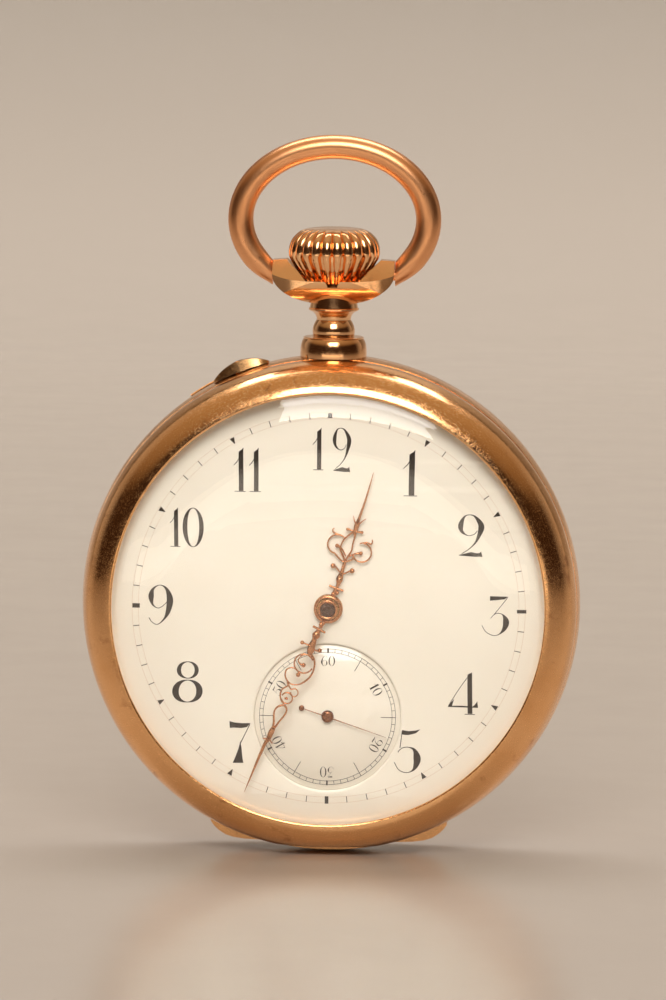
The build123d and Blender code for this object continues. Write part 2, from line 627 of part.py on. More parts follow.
with BuildPart() as cannon_pinion:
    with BuildSketch(DIAL.offset(0.05)):
        with BuildLine():
            Polyline(*gear(Z_CANNON, M_CANNON, direction(C, M)), close=True)
        make_face()
    extrude(amount=0.38)
    with BuildSketch(DIAL.offset(0.05)):
        Circle(0.92)
    extrude(amount=2.62)
    with BuildSketch(DIAL.offset(2.67)):
        Circle(0.7)
    extrude(amount=0.4)
    with BuildSketch(DIAL.offset(0)):
        Circle(0.42)
    extrude(amount=3.4, mode=Mode.SUBTRACT)
cannon_pinion.part.label = "cannon_pinion"
export_step(cannon_pinion.part, "parts/cannon_pinion.step")

with BuildPart() as minute_wheel:
    with BuildSketch(at(0.08, M)):
        with BuildLine():
            Polyline(*gear(Z_MINUTE, M_CANNON, direction(M, C) + 180.0 / Z_MINUTE), close=True)
        make_face()
    extrude(amount=0.3)
    with BuildSketch(at(0.38, M)):
        with BuildLine():
            Polyline(*gear(Z_MINUTE_P, M_HOUR, direction(M, C) + 180.0 / Z_MINUTE_P), close=True)
        make_face()
    extrude(amount=0.45)
    with BuildSketch(at(0, M)):
        Circle(0.42)
    extrude(amount=1, mode=Mode.SUBTRACT)
minute_wheel.part.label = "minute_wheel"
export_step(minute_wheel.part, "parts/minute_wheel.step")

# ================================================================= PLATES
JEWELS_PLATE = (T, E, P, B)
JEWELS_TRAIN = (T, F, E)
with BuildPart() as main_plate:
    with BuildSketch(DIAL.offset(PLATE_BACK)):
        Circle(21.4)
    extrude(amount=1.8)
    with BuildSketch(DIAL):
        Circle(21.4)
        Circle(PLATE_R, mode=Mode.SUBTRACT)
    extrude(amount=1.0)
    # bearing blocks of the winding stem
    with BuildSketch(DIAL.offset(PLATE_BACK)):
        with Locations((0, 18.75)):
            Rectangle(5.0, 3.4)
        with Locations((0, 11.4)):
            Rectangle(2.4, 0.9)
    extrude(amount=-2.0)
    with BuildSketch(FLAT.offset(10.95)):
        Circle(0.34)
    extrude(amount=2, mode=Mode.SUBTRACT)
    with BuildSketch(FLAT.offset(16.9)):
        Circle(0.72)
    extrude(amount=6, mode=Mode.SUBTRACT)
    # windows for the winding and sliding pinions and the setting wheel
    with BuildSketch(DIAL.offset(PLATE_BACK - 0.1)):
        with Locations((0, 16.0)):
            Rectangle(5.9, 1.9)
        with Locations((0, 13.5)):
            Rectangle(3.5, 3.3)
    extrude(amount=1.95, mode=Mode.SUBTRACT)
    with BuildSketch(at(-1.4, S)):
        Circle(2.35)
        Circle(0.46, mode=Mode.SUBTRACT)
    extrude(amount=1.5, mode=Mode.SUBTRACT)
    with BuildSketch(at(0, S)):
        Circle(0.46)
    extrude(amount=0.3)
    # holes: centre arbor, train, dial feet, screws
    with BuildSketch(DIAL.offset(-5)):
        Circle(0.6)
        with Locations(*JEWELS_PLATE):
            Circle(0.75)
        with Locations(F):
            Circle(0.75)
        with Locations(BB):
            Circle(0.72)
        with Locations((15, 11.5), (-16.5, 9), (3.5, -19.7)):
            Circle(0.53)
    extrude(amount=6, mode=Mode.SUBTRACT)
    for fx, fz, fa in ((15, 11.5, 37.5), (-16.5, 9, 151.4), (3.5, -19.7, -79.9)):
        with BuildSketch(Plane(origin=(fx, YD + 0.9, ZC + fz), x_dir=(0, 1, 0),
                               z_dir=(math.cos(math.radians(fa)), 0, math.sin(math.radians(fa)))).offset(0.4)):
            Circle(0.24)
        extrude(amount=1.3, mode=Mode.SUBTRACT)
    with BuildSketch(DIAL.offset(-3)):
        with Locations((19.2, 5.3), (-18.9, -6.3)):
            Circle(0.37)
    extrude(amount=2, mode=Mode.SUBTRACT)
    with BuildSketch(at(0, M)):
        Circle(0.38)
    extrude(amount=0.85)
    # stud of the yoke
    with BuildSketch(at(-3.3, V)):
        Circle(0.45)
    extrude(amount=1.5)
main_plate.part.label = "main_plate"
export_step(main_plate.part, "parts/main_plate.step")

BALANCE_CLEAR = 8.35
with BuildPart() as barrel_bridge:
    with BuildSketch(DIAL.offset(BRIDGE_HI)):
        Circle(19.6)
        with Locations((0, -1.7 - 15)):
            Rectangle(50, 30, mode=Mode.SUBTRACT)
        with Locations(B):
            Circle(BALANCE_CLEAR, mode=Mode.SUBTRACT)
        with Locations((0, 16.0)):
            Rectangle(5.2, 2.2, mode=Mode.SUBTRACT)
    extrude(amount=1.0)
    # feet
    with BuildSketch(DIAL.offset(BRIDGE_LO)):
        with Locations((17.9, 1.5), (14.5, 12.2), (4.2, 18.4), (-15.6, 10.2), (-4.9, 18.4)):
            Circle(1.15)
    extrude(amount=2.8)
    with BuildSketch(DIAL.offset(-6)):
        Circle(0.55)
        with Locations(BB):
            Circle(1.05)
    extrude(amount=6, mode=Mode.SUBTRACT)
    with BuildSketch(DIAL.offset(-5.62)):
        with Locations((17.9, 1.5), (14.5, 12.2), (-15.6, 10.2)):
            Circle(0.5)
    extrude(amount=2.4, mode=Mode.SUBTRACT)
    # core of the crown wheel and stud of the click
    with BuildSketch(at(BRIDGE_HI, K)):
        Circle(1.2)
    extrude(amount=-0.55)
    with BuildSketch(at(BRIDGE_HI, CLICK)):
        Circle(0.4)
    extrude(amount=-0.45)
barrel_bridge.part.label = "barrel_bridge"
export_step(barrel_bridge.part, "parts/barrel_bridge.step")

with BuildPart() as train_bridge:
    with BuildSketch(DIAL.offset(BRIDGE_HI)):
        Circle(19.6)
        with Locations((0, -1.95 + 15)):
            Rectangle(50, 30, mode=Mode.SUBTRACT)
        with Locations(B):
            Circle(BALANCE_CLEAR, mode=Mode.SUBTRACT)
        with Locations(COCK_FOOT):
            Circle(2.7, mode=Mode.SUBTRACT)
        with Locations((-27, -12)):
            Rectangle(30, 30, mode=Mode.SUBTRACT)
    extrude(amount=1.0)
    with BuildSketch(DIAL.offset(BRIDGE_LO)):
        with Locations((16.8, -6.3), (10.5, -15.2), (-6.0, -17.6)):
            Circle(1.3)
    extrude(amount=2.8)
    with BuildSketch(DIAL.offset(-6)):
        with Locations(*JEWELS_TRAIN):
            Circle(0.75)
        with Locations((16.8, -6.3), (10.5, -15.2), (-6.0, -17.6)):
            Circle(0.5)
    extrude(amount=3, mode=Mode.SUBTRACT)
train_bridge.part.label = "train_bridge"
export_step(train_bridge.part, "parts/train_bridge.step")

with BuildPart() as pallet_cock:
    with BuildSketch(at(-3.1, P)):
        Circle(1.05)
        with BuildLine():
            Polyline((0.9 * U[0], 0.9 * U[1]),
                     (PALLET_FOOT[0] - P[0] + 0.9 * U[0], PALLET_FOOT[1] - P[1] + 0.9 * U[1]),
                     (PALLET_FOOT[0] - P[0] - 0.9 * U[0], PALLET_FOOT[1] - P[1] - 0.9 * U[1]),
                     (-0.9 * U[0], -0.9 * U[1]), close=True)
        make_face()
    extrude(amount=0.5)
    with BuildSketch(at(-3.1, PALLET_FOOT)):
        Circle(1.1)
    extrude(amount=1.3)
    with BuildSketch(at(-3.2, P)):
        Circle(0.45)
    extrude(amount=1, mode=Mode.SUBTRACT)
    with BuildSketch(at(-3.2, PALLET_FOOT)):
        Circle(0.4)
    extrude(amount=1.2, mode=Mode.SUBTRACT)
pallet_cock.part.label = "pallet_cock"
export_step(pallet_cock.part, "parts/pallet_cock.step")

COCK_D = direction(COCK_FOOT, B)
COCK_L = math.hypot(B[0] - COCK_FOOT[0], B[1] - COCK_FOOT[1])
with BuildPart() as balance_cock:
    with BuildSketch(Plane(origin=(COCK_FOOT[0], YD + 5.8, ZC + COCK_FOOT[1]),
                           x_dir=(math.cos(math.radians(COCK_D)), 0, math.sin(math.radians(COCK_D))), z_dir=(0, -1, 0))):
        with Locations((COCK_L / 2, 0)):
            Rectangle(COCK_L, 2.6)
        with Locations((COCK_L, 0)):
            Circle(2.0)
        Circle(1.9)
    extrude(amount=0.6)
    with BuildSketch(at(-5.2, COCK_FOOT)):
        Circle(1.35)
    extrude(amount=3.4)
    with BuildSketch(at(-6.5, B)):
        Circle(0.75)
    extrude(amount=2, mode=Mode.SUBTRACT)
    with BuildSketch(at(-6.1, COCK_FOOT)):
        Circle(0.5)
    extrude(amount=2.7, mode=Mode.SUBTRACT)
    with BuildSketch(at(-5.8, B)):
        Circle(1.25)
        Circle(0.75, mode=Mode.SUBTRACT)
    extrude(amount=-0.3)
balance_cock.part.label = "balance_cock"
export_step(balance_cock.part, "parts/balance_cock.step")

# --------------------------------------------------------------- fasteners
SCREWS = (((17.9, 1.5), -5.6), ((14.5, 12.2), -5.6), ((-15.6, 10.2), -5.6),
          ((16.8, -6.3), -5.6), ((10.5, -15.2), -5.6), ((-6.0, -17.6), -5.6), (COCK_FOOT, -5.8))
with BuildPart() as bridge_screws:
    for spot, top in SCREWS:
        with BuildSketch(at(top, spot)):
            Circle(0.95)
        extrude(amount=-0.4)
        with BuildSketch(at(top, spot)):
            Circle(0.46)
        extrude(amount=2.3)
        with BuildSketch(at(top - 0.4, spot)):
            Rectangle(2.0, 0.22, rotation=35)
        extrude(amount=0.18, mode=Mode.SUBTRACT)
    with BuildSketch(at(-3.1, PALLET_FOOT)):
        Circle(0.7)
    extrude(amount=-0.3)
    with BuildSketch(at(-3.1, PALLET_FOOT)):
        Circle(0.37)
    extrude(amount=1.1)
bridge_screws.part.label = "bridge_screws"
export_step(bridge_screws.part, "parts/bridge_screws.step")

with BuildPart() as case_screws:
    with BuildSketch(DIAL.offset(-2.1)):
        with Locations((19.2, 5.3), (-18.9, -6.3)):
            Circle(0.8)
    extrude(amount=0.3)
    with BuildSketch(DIAL.offset(-1.8)):
        with Locations((19.2, 5.3), (-18.9, -6.3)):
            Circle(0.35)
    extrude(amount=0.8)
case_screws.part.label = "case_screws"
export_step(case_screws.part, "parts/case_screws.step")

with BuildPart() as dial_foot_screws:
    for fx, fz, fa in ((15, 11.5, 37.5), (-16.5, 9, 151.4), (3.5, -19.7, -79.9)):
        with BuildSketch(Plane(origin=(fx, YD + 0.9, ZC + fz), x_dir=(0, 1, 0),
                               z_dir=(math.cos(math.radians(fa)), 0, math.sin(math.radians(fa)))).offset(0.56)):
            Circle(0.21)
        extrude(amount=0.9)
dial_foot_screws.part.label = "dial_foot_screws"
export_step(dial_foot_screws.part, "parts/dial_foot_screws.step")


# ============================================================ POWER TRAIN
with BuildPart() as barrel:
    with BuildSketch(at(-3.2, BB)):
        with BuildLine():
            Polyline(*gear(Z_BARREL, M_BARREL, direction(BB, C) + 180.0 / Z_BARREL), close=True)
        make_face()
    extrude(amount=0.5)
    with BuildSketch(at(-4.1, BB)):
        Circle(6.9)
    extrude(amount=1.4)
    with BuildSketch(at(-4.2, BB)):
        Circle(6.5)
    extrude(amount=1.2, mode=Mode.SUBTRACT)
    with BuildSketch(at(-4.2, BB)):
        Circle(0.75)
    extrude(amount=2, mode=Mode.SUBTRACT)
barrel.part.label = "barrel"
export_step(barrel.part, "parts/barrel.step")

with BuildPart() as barrel_cover:
    with BuildSketch(at(-4.35, BB)):
        Circle(6.9)
        Circle(0.75, mode=Mode.SUBTRACT)
    extrude(amount=0.25)
barrel_cover.part.label = "barrel_cover"
export_step(barrel_cover.part, "parts/barrel_cover.step")

with BuildPart() as barrel_arbor:
    with BuildSketch(at(-5.6, BB)):
        Circle(0.68)
    extrude(amount=4.6)
    with BuildSketch(at(-3.95, BB)):
        Circle(1.7)
    extrude(amount=0.9)
    with BuildSketch(at(-6.1, BB)):
        Rectangle(1.0, 1.0)
    extrude(amount=0.6)
barrel_arbor.part.label = "barrel_arbor"
export_step(barrel_arbor.part, "parts/barrel_arbor.step")

with BuildPart() as mainspring:
    with BuildSketch(at(-3.95, BB)):
        with BuildLine():
            Polyline(*spiral(2.1, 6.2, 9, 0.16, 16), close=True)
        make_face()
    extrude(amount=0.85)
mainspring.part.label = "mainspring"
export_step(mainspring.part, "parts/mainspring.step")

KB = direction(K, BB)
with BuildPart() as ratchet_wheel:
    with BuildSketch(at(-6.1, BB)):
        with BuildLine():
            Polyline(*gear(Z_RATCHET, M_RATCHET, direction(BB, K) + 180.0 / Z_RATCHET), close=True)
        make_face()
        Rectangle(1.02, 1.02, mode=Mode.SUBTRACT)
    extrude(amount=0.45)
ratchet_wheel.part.label = "ratchet_wheel"
export_step(ratchet_wheel.part, "parts/ratchet_wheel.step")

with BuildPart() as ratchet_screw:
    with BuildSketch(at(-6.1, BB)):
        Circle(1.3)
    extrude(amount=-0.3)
    with BuildSketch(at(-6.4, BB)):
        Rectangle(2.8, 0.28)
    extrude(amount=0.15, mode=Mode.SUBTRACT)
ratchet_screw.part.label = "ratchet_screw"
export_step(ratchet_screw.part, "parts/ratchet_screw.step")

with BuildPart() as crown_wheel:
    with BuildSketch(at(-6.1, K)):
        with BuildLine():
            Polyline(*gear(Z_CROWN_W, M_RATCHET, KB), close=True)
        make_face()
        Circle(1.24, mode=Mode.SUBTRACT)
    extrude(amount=0.42)
crown_wheel.part.label = "crown_wheel"
export_step(crown_wheel.part, "parts/crown_wheel.step")

with BuildPart() as crown_wheel_screw:
    with BuildSketch(at(-6.15, K)):
        Circle(1.7)
    extrude(amount=-0.28)
    with BuildSketch(at(-6.43, K)):
        Rectangle(3.6, 0.3, rotation=60)
    extrude(amount=0.15, mode=Mode.SUBTRACT)
crown_wheel_screw.part.label = "crown_wheel_screw"
export_step(crown_wheel_screw.part, "parts/crown_wheel_screw.step")

CLICK_A = direction(CLICK, BB)
with BuildPart() as click:
    with BuildSketch(Plane(origin=(CLICK[0], YD + 6.02, ZC + CLICK[1]),
                           x_dir=(math.cos(math.radians(CLICK_A)), 0, math.sin(math.radians(CLICK_A))), z_dir=(0, -1, 0))):
        Circle(0.85)
        with BuildLine():
            Polyline((0.0, 0.8), (-0.9, 2.2), (1.08, 2.75), (1.13, 2.55), (0.6, 1.4), (0.8, 0.0), close=True)
        make_face()
        Circle(0.44, mode=Mode.SUBTRACT)
    extrude(amount=0.36)
click.part.label = "click"
export_step(click.part, "parts/click.step")

with BuildPart() as click_spring:
    with BuildSketch(Plane(origin=(CLICK[0], YD + 6.0, ZC + CLICK[1]),
                           x_dir=(math.cos(math.radians(CLICK_A)), 0, math.sin(math.radians(CLICK_A))), z_dir=(0, -1, 0))):
        with BuildLine():
            Polyline((-1.25, 2.3), (-1.35, 2.1), (-1.6, 0.0), (-2.2, -1.2), (-2.5, -1.1), (-1.9, 0.1), (-1.65, 2.2), close=True)
        make_face()
        with Locations((-2.4, -1.5)):
            Circle(0.7)
    extrude(amount=0.34)
click_spring.part.label = "click_spring"
export_step(click_spring.part, "parts/click_spring.step")

# ============================================================ GOING TRAIN
# Each wheel is crossed out to five arms and riveted on its own pinion.
with BuildPart() as center_wheel:
    with BuildSketch(at(-2.5, C)):
        with BuildLine():
            Polyline(*gear(Z_CENTRE, M_CENTRE, direction(C, T)), close=True)
        make_face()
        Circle(5.0, mode=Mode.SUBTRACT)
        Circle(1.6)
        with PolarLocations(3.2, 5):
            Rectangle(4.0, 0.6)
        Circle(0.6, mode=Mode.SUBTRACT)
    extrude(amount=0.3)
center_wheel.part.label = "center_wheel"
export_step(center_wheel.part, "parts/center_wheel.step")

with BuildPart() as center_pinion:
    with BuildSketch(at(-3.4, C)):
        with BuildLine():
            Polyline(*gear(Z_CENTRE_P, M_BARREL, direction(C, BB)), close=True)
        make_face()
    extrude(amount=0.85)
    with BuildSketch(at(-5.5, C)):
        Circle(0.45)
    extrude(amount=3.0)
    with BuildSketch(at(-2.6, C)):
        Circle(0.58)
    extrude(amount=0.6)
    with BuildSketch(at(-2.0, C)):
        Circle(0.41)
    extrude(amount=5.2)
center_pinion.part.label = "center_pinion"
export_step(center_pinion.part, "parts/center_pinion.step")

with BuildPart() as third_wheel:
    with BuildSketch(at(-3.65, T)):
        with BuildLine():
            Polyline(*gear(Z_THIRD, M_THIRD, direction(T, F)), close=True)
        make_face()
        Circle(3.9, mode=Mode.SUBTRACT)
        Circle(1.1)
        with PolarLocations(2.4, 5):
            Rectangle(3.2, 0.45)
        Circle(0.3, mode=Mode.SUBTRACT)
    extrude(amount=0.25)
third_wheel.part.label = "third_wheel"
export_step(third_wheel.part, "parts/third_wheel.step")

with BuildPart() as third_pinion:
    with BuildSketch(at(-2.75, T)):
        with BuildLine():
            Polyline(*gear(Z_THIRD_P, M_CENTRE, direction(T, C) + 180.0 / Z_THIRD_P), close=True)
        make_face()
    extrude(amount=0.8)
    with BuildSketch(at(-4.5, T)):
        Circle(0.24)
    extrude(amount=2.6)
    with BuildSketch(at(-5.3, T)):
        Circle(0.12)
    extrude(amount=4.0)
third_pinion.part.label = "third_pinion"
export_step(third_pinion.part, "parts/third_pinion.step")

with BuildPart() as fourth_wheel:
    with BuildSketch(at(-3.15, F)):
        with BuildLine():
            Polyline(*gear(Z_FOURTH, M_FOURTH, direction(F, E)), close=True)
        make_face()
        Circle(4.1, mode=Mode.SUBTRACT)
        Circle(1.1)
        with PolarLocations(2.5, 5):
            Rectangle(3.4, 0.45)
        Circle(0.3, mode=Mode.SUBTRACT)
    extrude(amount=0.25)
fourth_wheel.part.label = "fourth_wheel"
export_step(fourth_wheel.part, "parts/fourth_wheel.step")

with BuildPart() as fourth_pinion:
    with BuildSketch(at(-3.95, F)):
        with BuildLine():
            Polyline(*gear(Z_FOURTH_P, M_THIRD, direction(F, T) + 180.0 / Z_FOURTH_P), close=True)
        make_face()
    extrude(amount=0.65)
    with BuildSketch(at(-4.5, F)):
        Circle(0.24)
    extrude(amount=2.6)
    with BuildSketch(at(-5.3, F)):
        Circle(0.12)
    extrude(amount=4.0)
    with BuildSketch(at(-1.9, F)):
        Circle(0.15)
    extrude(amount=3.85)
fourth_pinion.part.label = "fourth_pinion"
export_step(fourth_pinion.part, "parts/fourth_pinion.step")

ESC_R, ESC_N = 3.6, 15
ESC_A = direction(E, B)
club = []
for k in range(ESC_N):
    a = math.radians(ESC_A + 12 + 24 * k)
    for r, d in ((2.75, -9.5), (3.42, -3.2), (ESC_R - 0.03, -3.4), (ESC_R, 0.0), (3.35, -0.6), (2.75, -3.5)):
        q = a + math.radians(d)
        club.append((r * math.cos(q), r * math.sin(q)))
with BuildPart() as escape_wheel:
    with BuildSketch(at(-2.4, E)):
        with BuildLine():
            Polyline(*club, close=True)
        make_face()
        Circle(2.4, mode=Mode.SUBTRACT)
        Circle(0.75)
        with PolarLocations(1.55, 4):
            Rectangle(1.9, 0.35)
        Circle(0.25, mode=Mode.SUBTRACT)
    extrude(amount=0.22)
escape_wheel.part.label = "escape_wheel"
export_step(escape_wheel.part, "parts/escape_wheel.step")

with BuildPart() as escape_pinion:
    with BuildSketch(at(-3.3, E)):
        with BuildLine():
            Polyline(*gear(Z_ESCAPE_P, M_FOURTH, direction(E, F) + 180.0 / Z_ESCAPE_P), close=True)
        make_face()
    extrude(amount=0.6)
    with BuildSketch(at(-4.5, E)):
        Circle(0.2)
    extrude(amount=2.6)
    with BuildSketch(at(-5.3, E)):
        Circle(0.12)
    extrude(amount=4.0)
escape_pinion.part.label = "escape_pinion"
export_step(escape_pinion.part, "parts/escape_pinion.step")

# Lever escapement: the pallet plane has its origin at P and +y towards the balance.
LEVER = Plane(origin=(P[0], YD + 2.42, ZC + P[1]), x_dir=(U[1], 0, -U[0]), z_dir=(0, -1, 0))
PB = math.hypot(B[0] - P[0], B[1] - P[1])
with BuildPart() as pallet_fork:
    with BuildSketch(LEVER):
        Circle(0.62)
        with BuildLine():
            Polyline((-0.22, 0), (-0.16, PB - 2.3), (-0.62, PB - 1.85), (-0.5, PB - 1.46), (-0.28, PB - 1.46),
                     (-0.17, PB - 1.75), (0.17, PB - 1.75), (0.28, PB - 1.46), (0.5, PB - 1.46),
                     (0.62, PB - 1.85), (0.16, PB - 2.3), (0.22, 0), close=True)
        make_face()
        with BuildLine():
            Polyline((-0.5, 0.35), (-2.3, -0.15), (-2.35, -0.62), (-1.72, -0.5), (0, -0.35), (1.72, -0.5),
                     (2.35, -0.62), (2.3, -0.15), (0.5, 0.35), close=True)
        make_face()
    extrude(amount=0.3)
    with BuildSketch(at(-3.05, P)):
        Circle(0.12)
    extrude(amount=1.7)
pallet_fork.part.label = "pallet_fork"
export_step(pallet_fork.part, "parts/pallet_fork.step")

with BuildPart() as pallet_stones:
    with BuildSketch(LEVER):
        with Locations((-1.98, -0.8), (1.98, -0.8)):
            Rectangle(0.3, 0.44)
    extrude(amount=0.26)
    with BuildSketch(LEVER):
        with BuildLine():
            Polyline((-2.5, -1.2), (2.5, -1.2), (2.5, -0.575), (2.35, -0.62), (1.72, -0.5), (-1.72, -0.5),
                     (-2.35, -0.62), (-2.5, -0.575), close=True)
        make_face()
    extrude(amount=0.26, mode=Mode.INTERSECT)
pallet_stones.part.label = "pallet_stones"
export_step(pallet_stones.part, "parts/pallet_stones.step")

# ================================================================ BALANCE
with BuildPart() as balance_wheel:
    with BuildSketch(at(-4.3, B)):
        Circle(7.45)
        Circle(6.75, mode=Mode.SUBTRACT)
    extrude(amount=0.65)
    with BuildSketch(at(-4.2, B)):
        Rectangle(14.0, 0.8, rotation=25)
        Circle(1.0)
        Circle(0.3, mode=Mode.SUBTRACT)
    extrude(amount=0.3)
    # timing screws around the rim
    for k in range(14):
        ang = 25 + 12.86 + k * 360 / 14
        with BuildSketch(Plane(origin=(B[0], YD + 3.97, ZC + B[1]), x_dir=(0, 1, 0),
                               z_dir=(math.cos(math.radians(ang)), 0, math.sin(math.radians(ang)))).offset(7.3)):
            Circle(0.27)
        extrude(amount=0.6)
balance_wheel.part.label = "balance_wheel"
export_step(balance_wheel.part, "parts/balance_wheel.step")

with BuildPart() as balance_staff:
    with BuildSketch(at(-5.1, B)):
        Circle(0.29)
    extrude(amount=2.85)
    with BuildSketch(at(-5.7, B)):
        Circle(0.12)
    extrude(amount=4.4)
    with BuildSketch(at(-2.85, B)):
        Circle(1.75)
    extrude(amount=0.22)
    with BuildSketch(at(-4.75, B)):
        Circle(0.55)
    extrude(amount=0.4)
    # impulse pin
    with BuildSketch(at(-2.65, (B[0] - 1.5 * U[0], B[1] - 1.5 * U[1]))):
        Circle(0.12)
    extrude(amount=0.5)
balance_staff.part.label = "balance_staff"
export_step(balance_staff.part, "parts/balance_staff.step")

with BuildPart() as hairspring:
    with BuildSketch(at(-4.72, B)):
        with BuildLine():
            Polyline(*spiral(0.75, 3.6, 10, 0.07, 16), close=True)
        make_face()
    extrude(amount=0.2)
hairspring.part.label = "hairspring"
export_step(hairspring.part, "parts/hairspring.step")

with BuildPart() as regulator:
    with BuildSketch(Plane(origin=(B[0], YD + 6.05, ZC + B[1]),
                           x_dir=(math.cos(math.radians(COCK_D)), 0, math.sin(math.radians(COCK_D))), z_dir=(0, -1, 0))):
        Circle(1.75)
        with BuildLine():
            Polyline((-0.35, 1.2), (-0.12, 5.2), (0.12, 5.2), (0.35, 1.2), (0.35, -1.2), (0.25, -3.2), (-0.25, -3.2), (-0.35, -1.2), close=True)
        make_face()
        Circle(1.3, mode=Mode.SUBTRACT)
    extrude(amount=0.22)
regulator.part.label = "regulator"
export_step(regulator.part, "parts/regulator.step")

# Pierced jewels in the plate and the bridges.
with BuildPart() as jewels:
    for spot in JEWELS_PLATE:
        with BuildSketch(at(-1.8, spot)):
            Circle(0.75)
            Circle(0.155, mode=Mode.SUBTRACT)
        extrude(amount=0.4)
    with BuildSketch(at(-1.8, F)):
        Circle(0.75)
        Circle(0.19, mode=Mode.SUBTRACT)
    extrude(amount=0.4)
    for spot in JEWELS_TRAIN:
        with BuildSketch(at(-5.45, spot)):
            Circle(0.75)
            Circle(0.155, mode=Mode.SUBTRACT)
        extrude(amount=0.4)
    with BuildSketch(at(-3.0, P)):
        Circle(0.45)
        Circle(0.155, mode=Mode.SUBTRACT)
    extrude(amount=0.3)
    with BuildSketch(at(-5.75, B)):
        Circle(0.75)
        Circle(0.155, mode=Mode.SUBTRACT)
    extrude(amount=0.4)
jewels.part.label = "jewels"
export_step(jewels.part, "parts/jewels.step")
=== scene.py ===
import math

import bpy
import bmesh
import numpy as np
from mathutils import Matrix, Vector
from mathutils.geometry import tessellate_polygon


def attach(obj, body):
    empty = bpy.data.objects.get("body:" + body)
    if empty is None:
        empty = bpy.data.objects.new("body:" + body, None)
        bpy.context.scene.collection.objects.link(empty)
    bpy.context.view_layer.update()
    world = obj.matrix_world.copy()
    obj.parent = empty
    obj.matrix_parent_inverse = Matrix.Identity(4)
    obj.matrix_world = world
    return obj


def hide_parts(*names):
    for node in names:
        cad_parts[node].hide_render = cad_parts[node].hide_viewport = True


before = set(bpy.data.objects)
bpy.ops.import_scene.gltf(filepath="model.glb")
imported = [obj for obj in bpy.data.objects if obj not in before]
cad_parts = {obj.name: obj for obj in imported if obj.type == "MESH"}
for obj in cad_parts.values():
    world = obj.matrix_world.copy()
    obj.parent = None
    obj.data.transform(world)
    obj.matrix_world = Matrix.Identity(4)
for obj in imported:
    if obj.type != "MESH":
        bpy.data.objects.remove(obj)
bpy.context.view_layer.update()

MM = 0.001
YD, ZC, YS = -1.55, 25.0, 1.35


# ------------------------------------------------------------------ helpers
def dial_pt(x, y, h):
    """x to the right, y towards twelve, h towards the crystal, in mm."""
    return (x * MM, (YD - h) * MM, (ZC + y) * MM)


def stem_pt(x, y, z):
    """x to the right, y to the back, z up from the dial centre, about the stem axis."""
    return (x * MM, (YS + y) * MM, (ZC + z) * MM)


class Build:
    def __init__(self):
        self.v, self.f = [], []

    def add(self, verts, faces):
        n = len(self.v)
        self.v += [tuple(p) for p in verts]
        self.f += [[i + n for i in f] for f in faces]

    def make(self, name, mat, body="case", angle=35, replaces=(), smooth=True):
        me = bpy.data.meshes.new(name)
        me.from_pydata(self.v, [], self.f)
        bm = bmesh.new()
        bm.from_mesh(me)
        bmesh.ops.remove_doubles(bm, verts=bm.verts, dist=1e-9)
        bmesh.ops.recalc_face_normals(bm, faces=bm.faces)
        bm.to_mesh(me)
        bm.free()
        if smooth:
            me.shade_smooth()
            me.set_sharp_from_angle(angle=math.radians(angle))
        me.materials.append(mat)
        ob = bpy.data.objects.new(name, me)
        bpy.context.scene.collection.objects.link(ob)
        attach(ob, body)
        if replaces:
            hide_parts(*replaces)
        return ob


def catmull(pts, k=8, closed=False):
    """Points on a smooth curve through pts; extra columns are carried along."""
    p = [np.array(q, float) for q in pts]
    n = len(p)
    out = []
    span = n if closed else n - 1
    for i in range(span):
        p1, p2 = p[i], p[(i + 1) % n]
        p0 = p[i - 1] if (closed or i > 0) else 2 * p1 - p2
        p3 = p[(i + 2) % n] if (closed or i + 2 < n) else 2 * p2 - p1
        for j in range(k):
            t = j / k
            out.append(0.5 * ((2 * p1) + (-p0 + p2) * t + (2 * p0 - 5 * p1 + 4 * p2 - p3) * t * t
                              + (-p0 + 3 * p1 - 3 * p2 + p3) * t ** 3))
    if not closed:
        out.append(p[-1])
    return [tuple(q) for q in out]


def lathe(b, profile, n, place, closed=True, fn=None):
    """Revolve (r, t) points. fn(r, t, a) may give another radius."""
    rings = []
    verts, faces = [], []
    for r, t in profile:
        if r < 1e-6:
            rings.append([len(verts)])
            verts.append(place(0, 0, t))
        else:
            ring = []
            for i in range(n):
                a = 2 * math.pi * i / n
                q = fn(r, t, a) if fn else r
                ring.append(len(verts))
                verts.append(place(q * math.cos(a), q * math.sin(a), t))
            rings.append(ring)
    m = len(rings)
    for i in range(m if closed else m - 1):
        a, c = rings[i], rings[(i + 1) % m]
        if len(a) == 1 and len(c) == 1:
            continue
        for j in range(n):
            j2 = (j + 1) % n
            if len(a) == 1:
                faces.append([a[0], c[j2], c[j]])
            elif len(c) == 1:
                faces.append([a[j], a[j2], c[0]])
            else:
                faces.append([a[j], a[j2], c[j2], c[j]])
    b.add(verts, faces)


def prism(b, outline, h0, h1, place=dial_pt, holes=(), bevel=0.0):
    """A flat plate from an outline, with holes, from height h0 to h1."""
    loops = [list(outline)] + [list(q) for q in holes]
    tri = tessellate_polygon([[Vector((x, y, 0)) for x, y in lp] for lp in loops])
    flat = [p for lp in loops for p in lp]
    n = len(flat)
    verts = [place(x, y, h0) for x, y in flat] + [place(x, y, h1) for x, y in flat]
    faces = [[i for i in t] for t in tri] + [[i + n for i in t][::-1] for t in tri]
    base = 0
    for lp in loops:
        k = len(lp)
        for i in range(k):
            j = (i + 1) % k
            faces.append([base + i, base + j, base + j + n, base + i + n])
        base += k
    b.add(verts, faces)


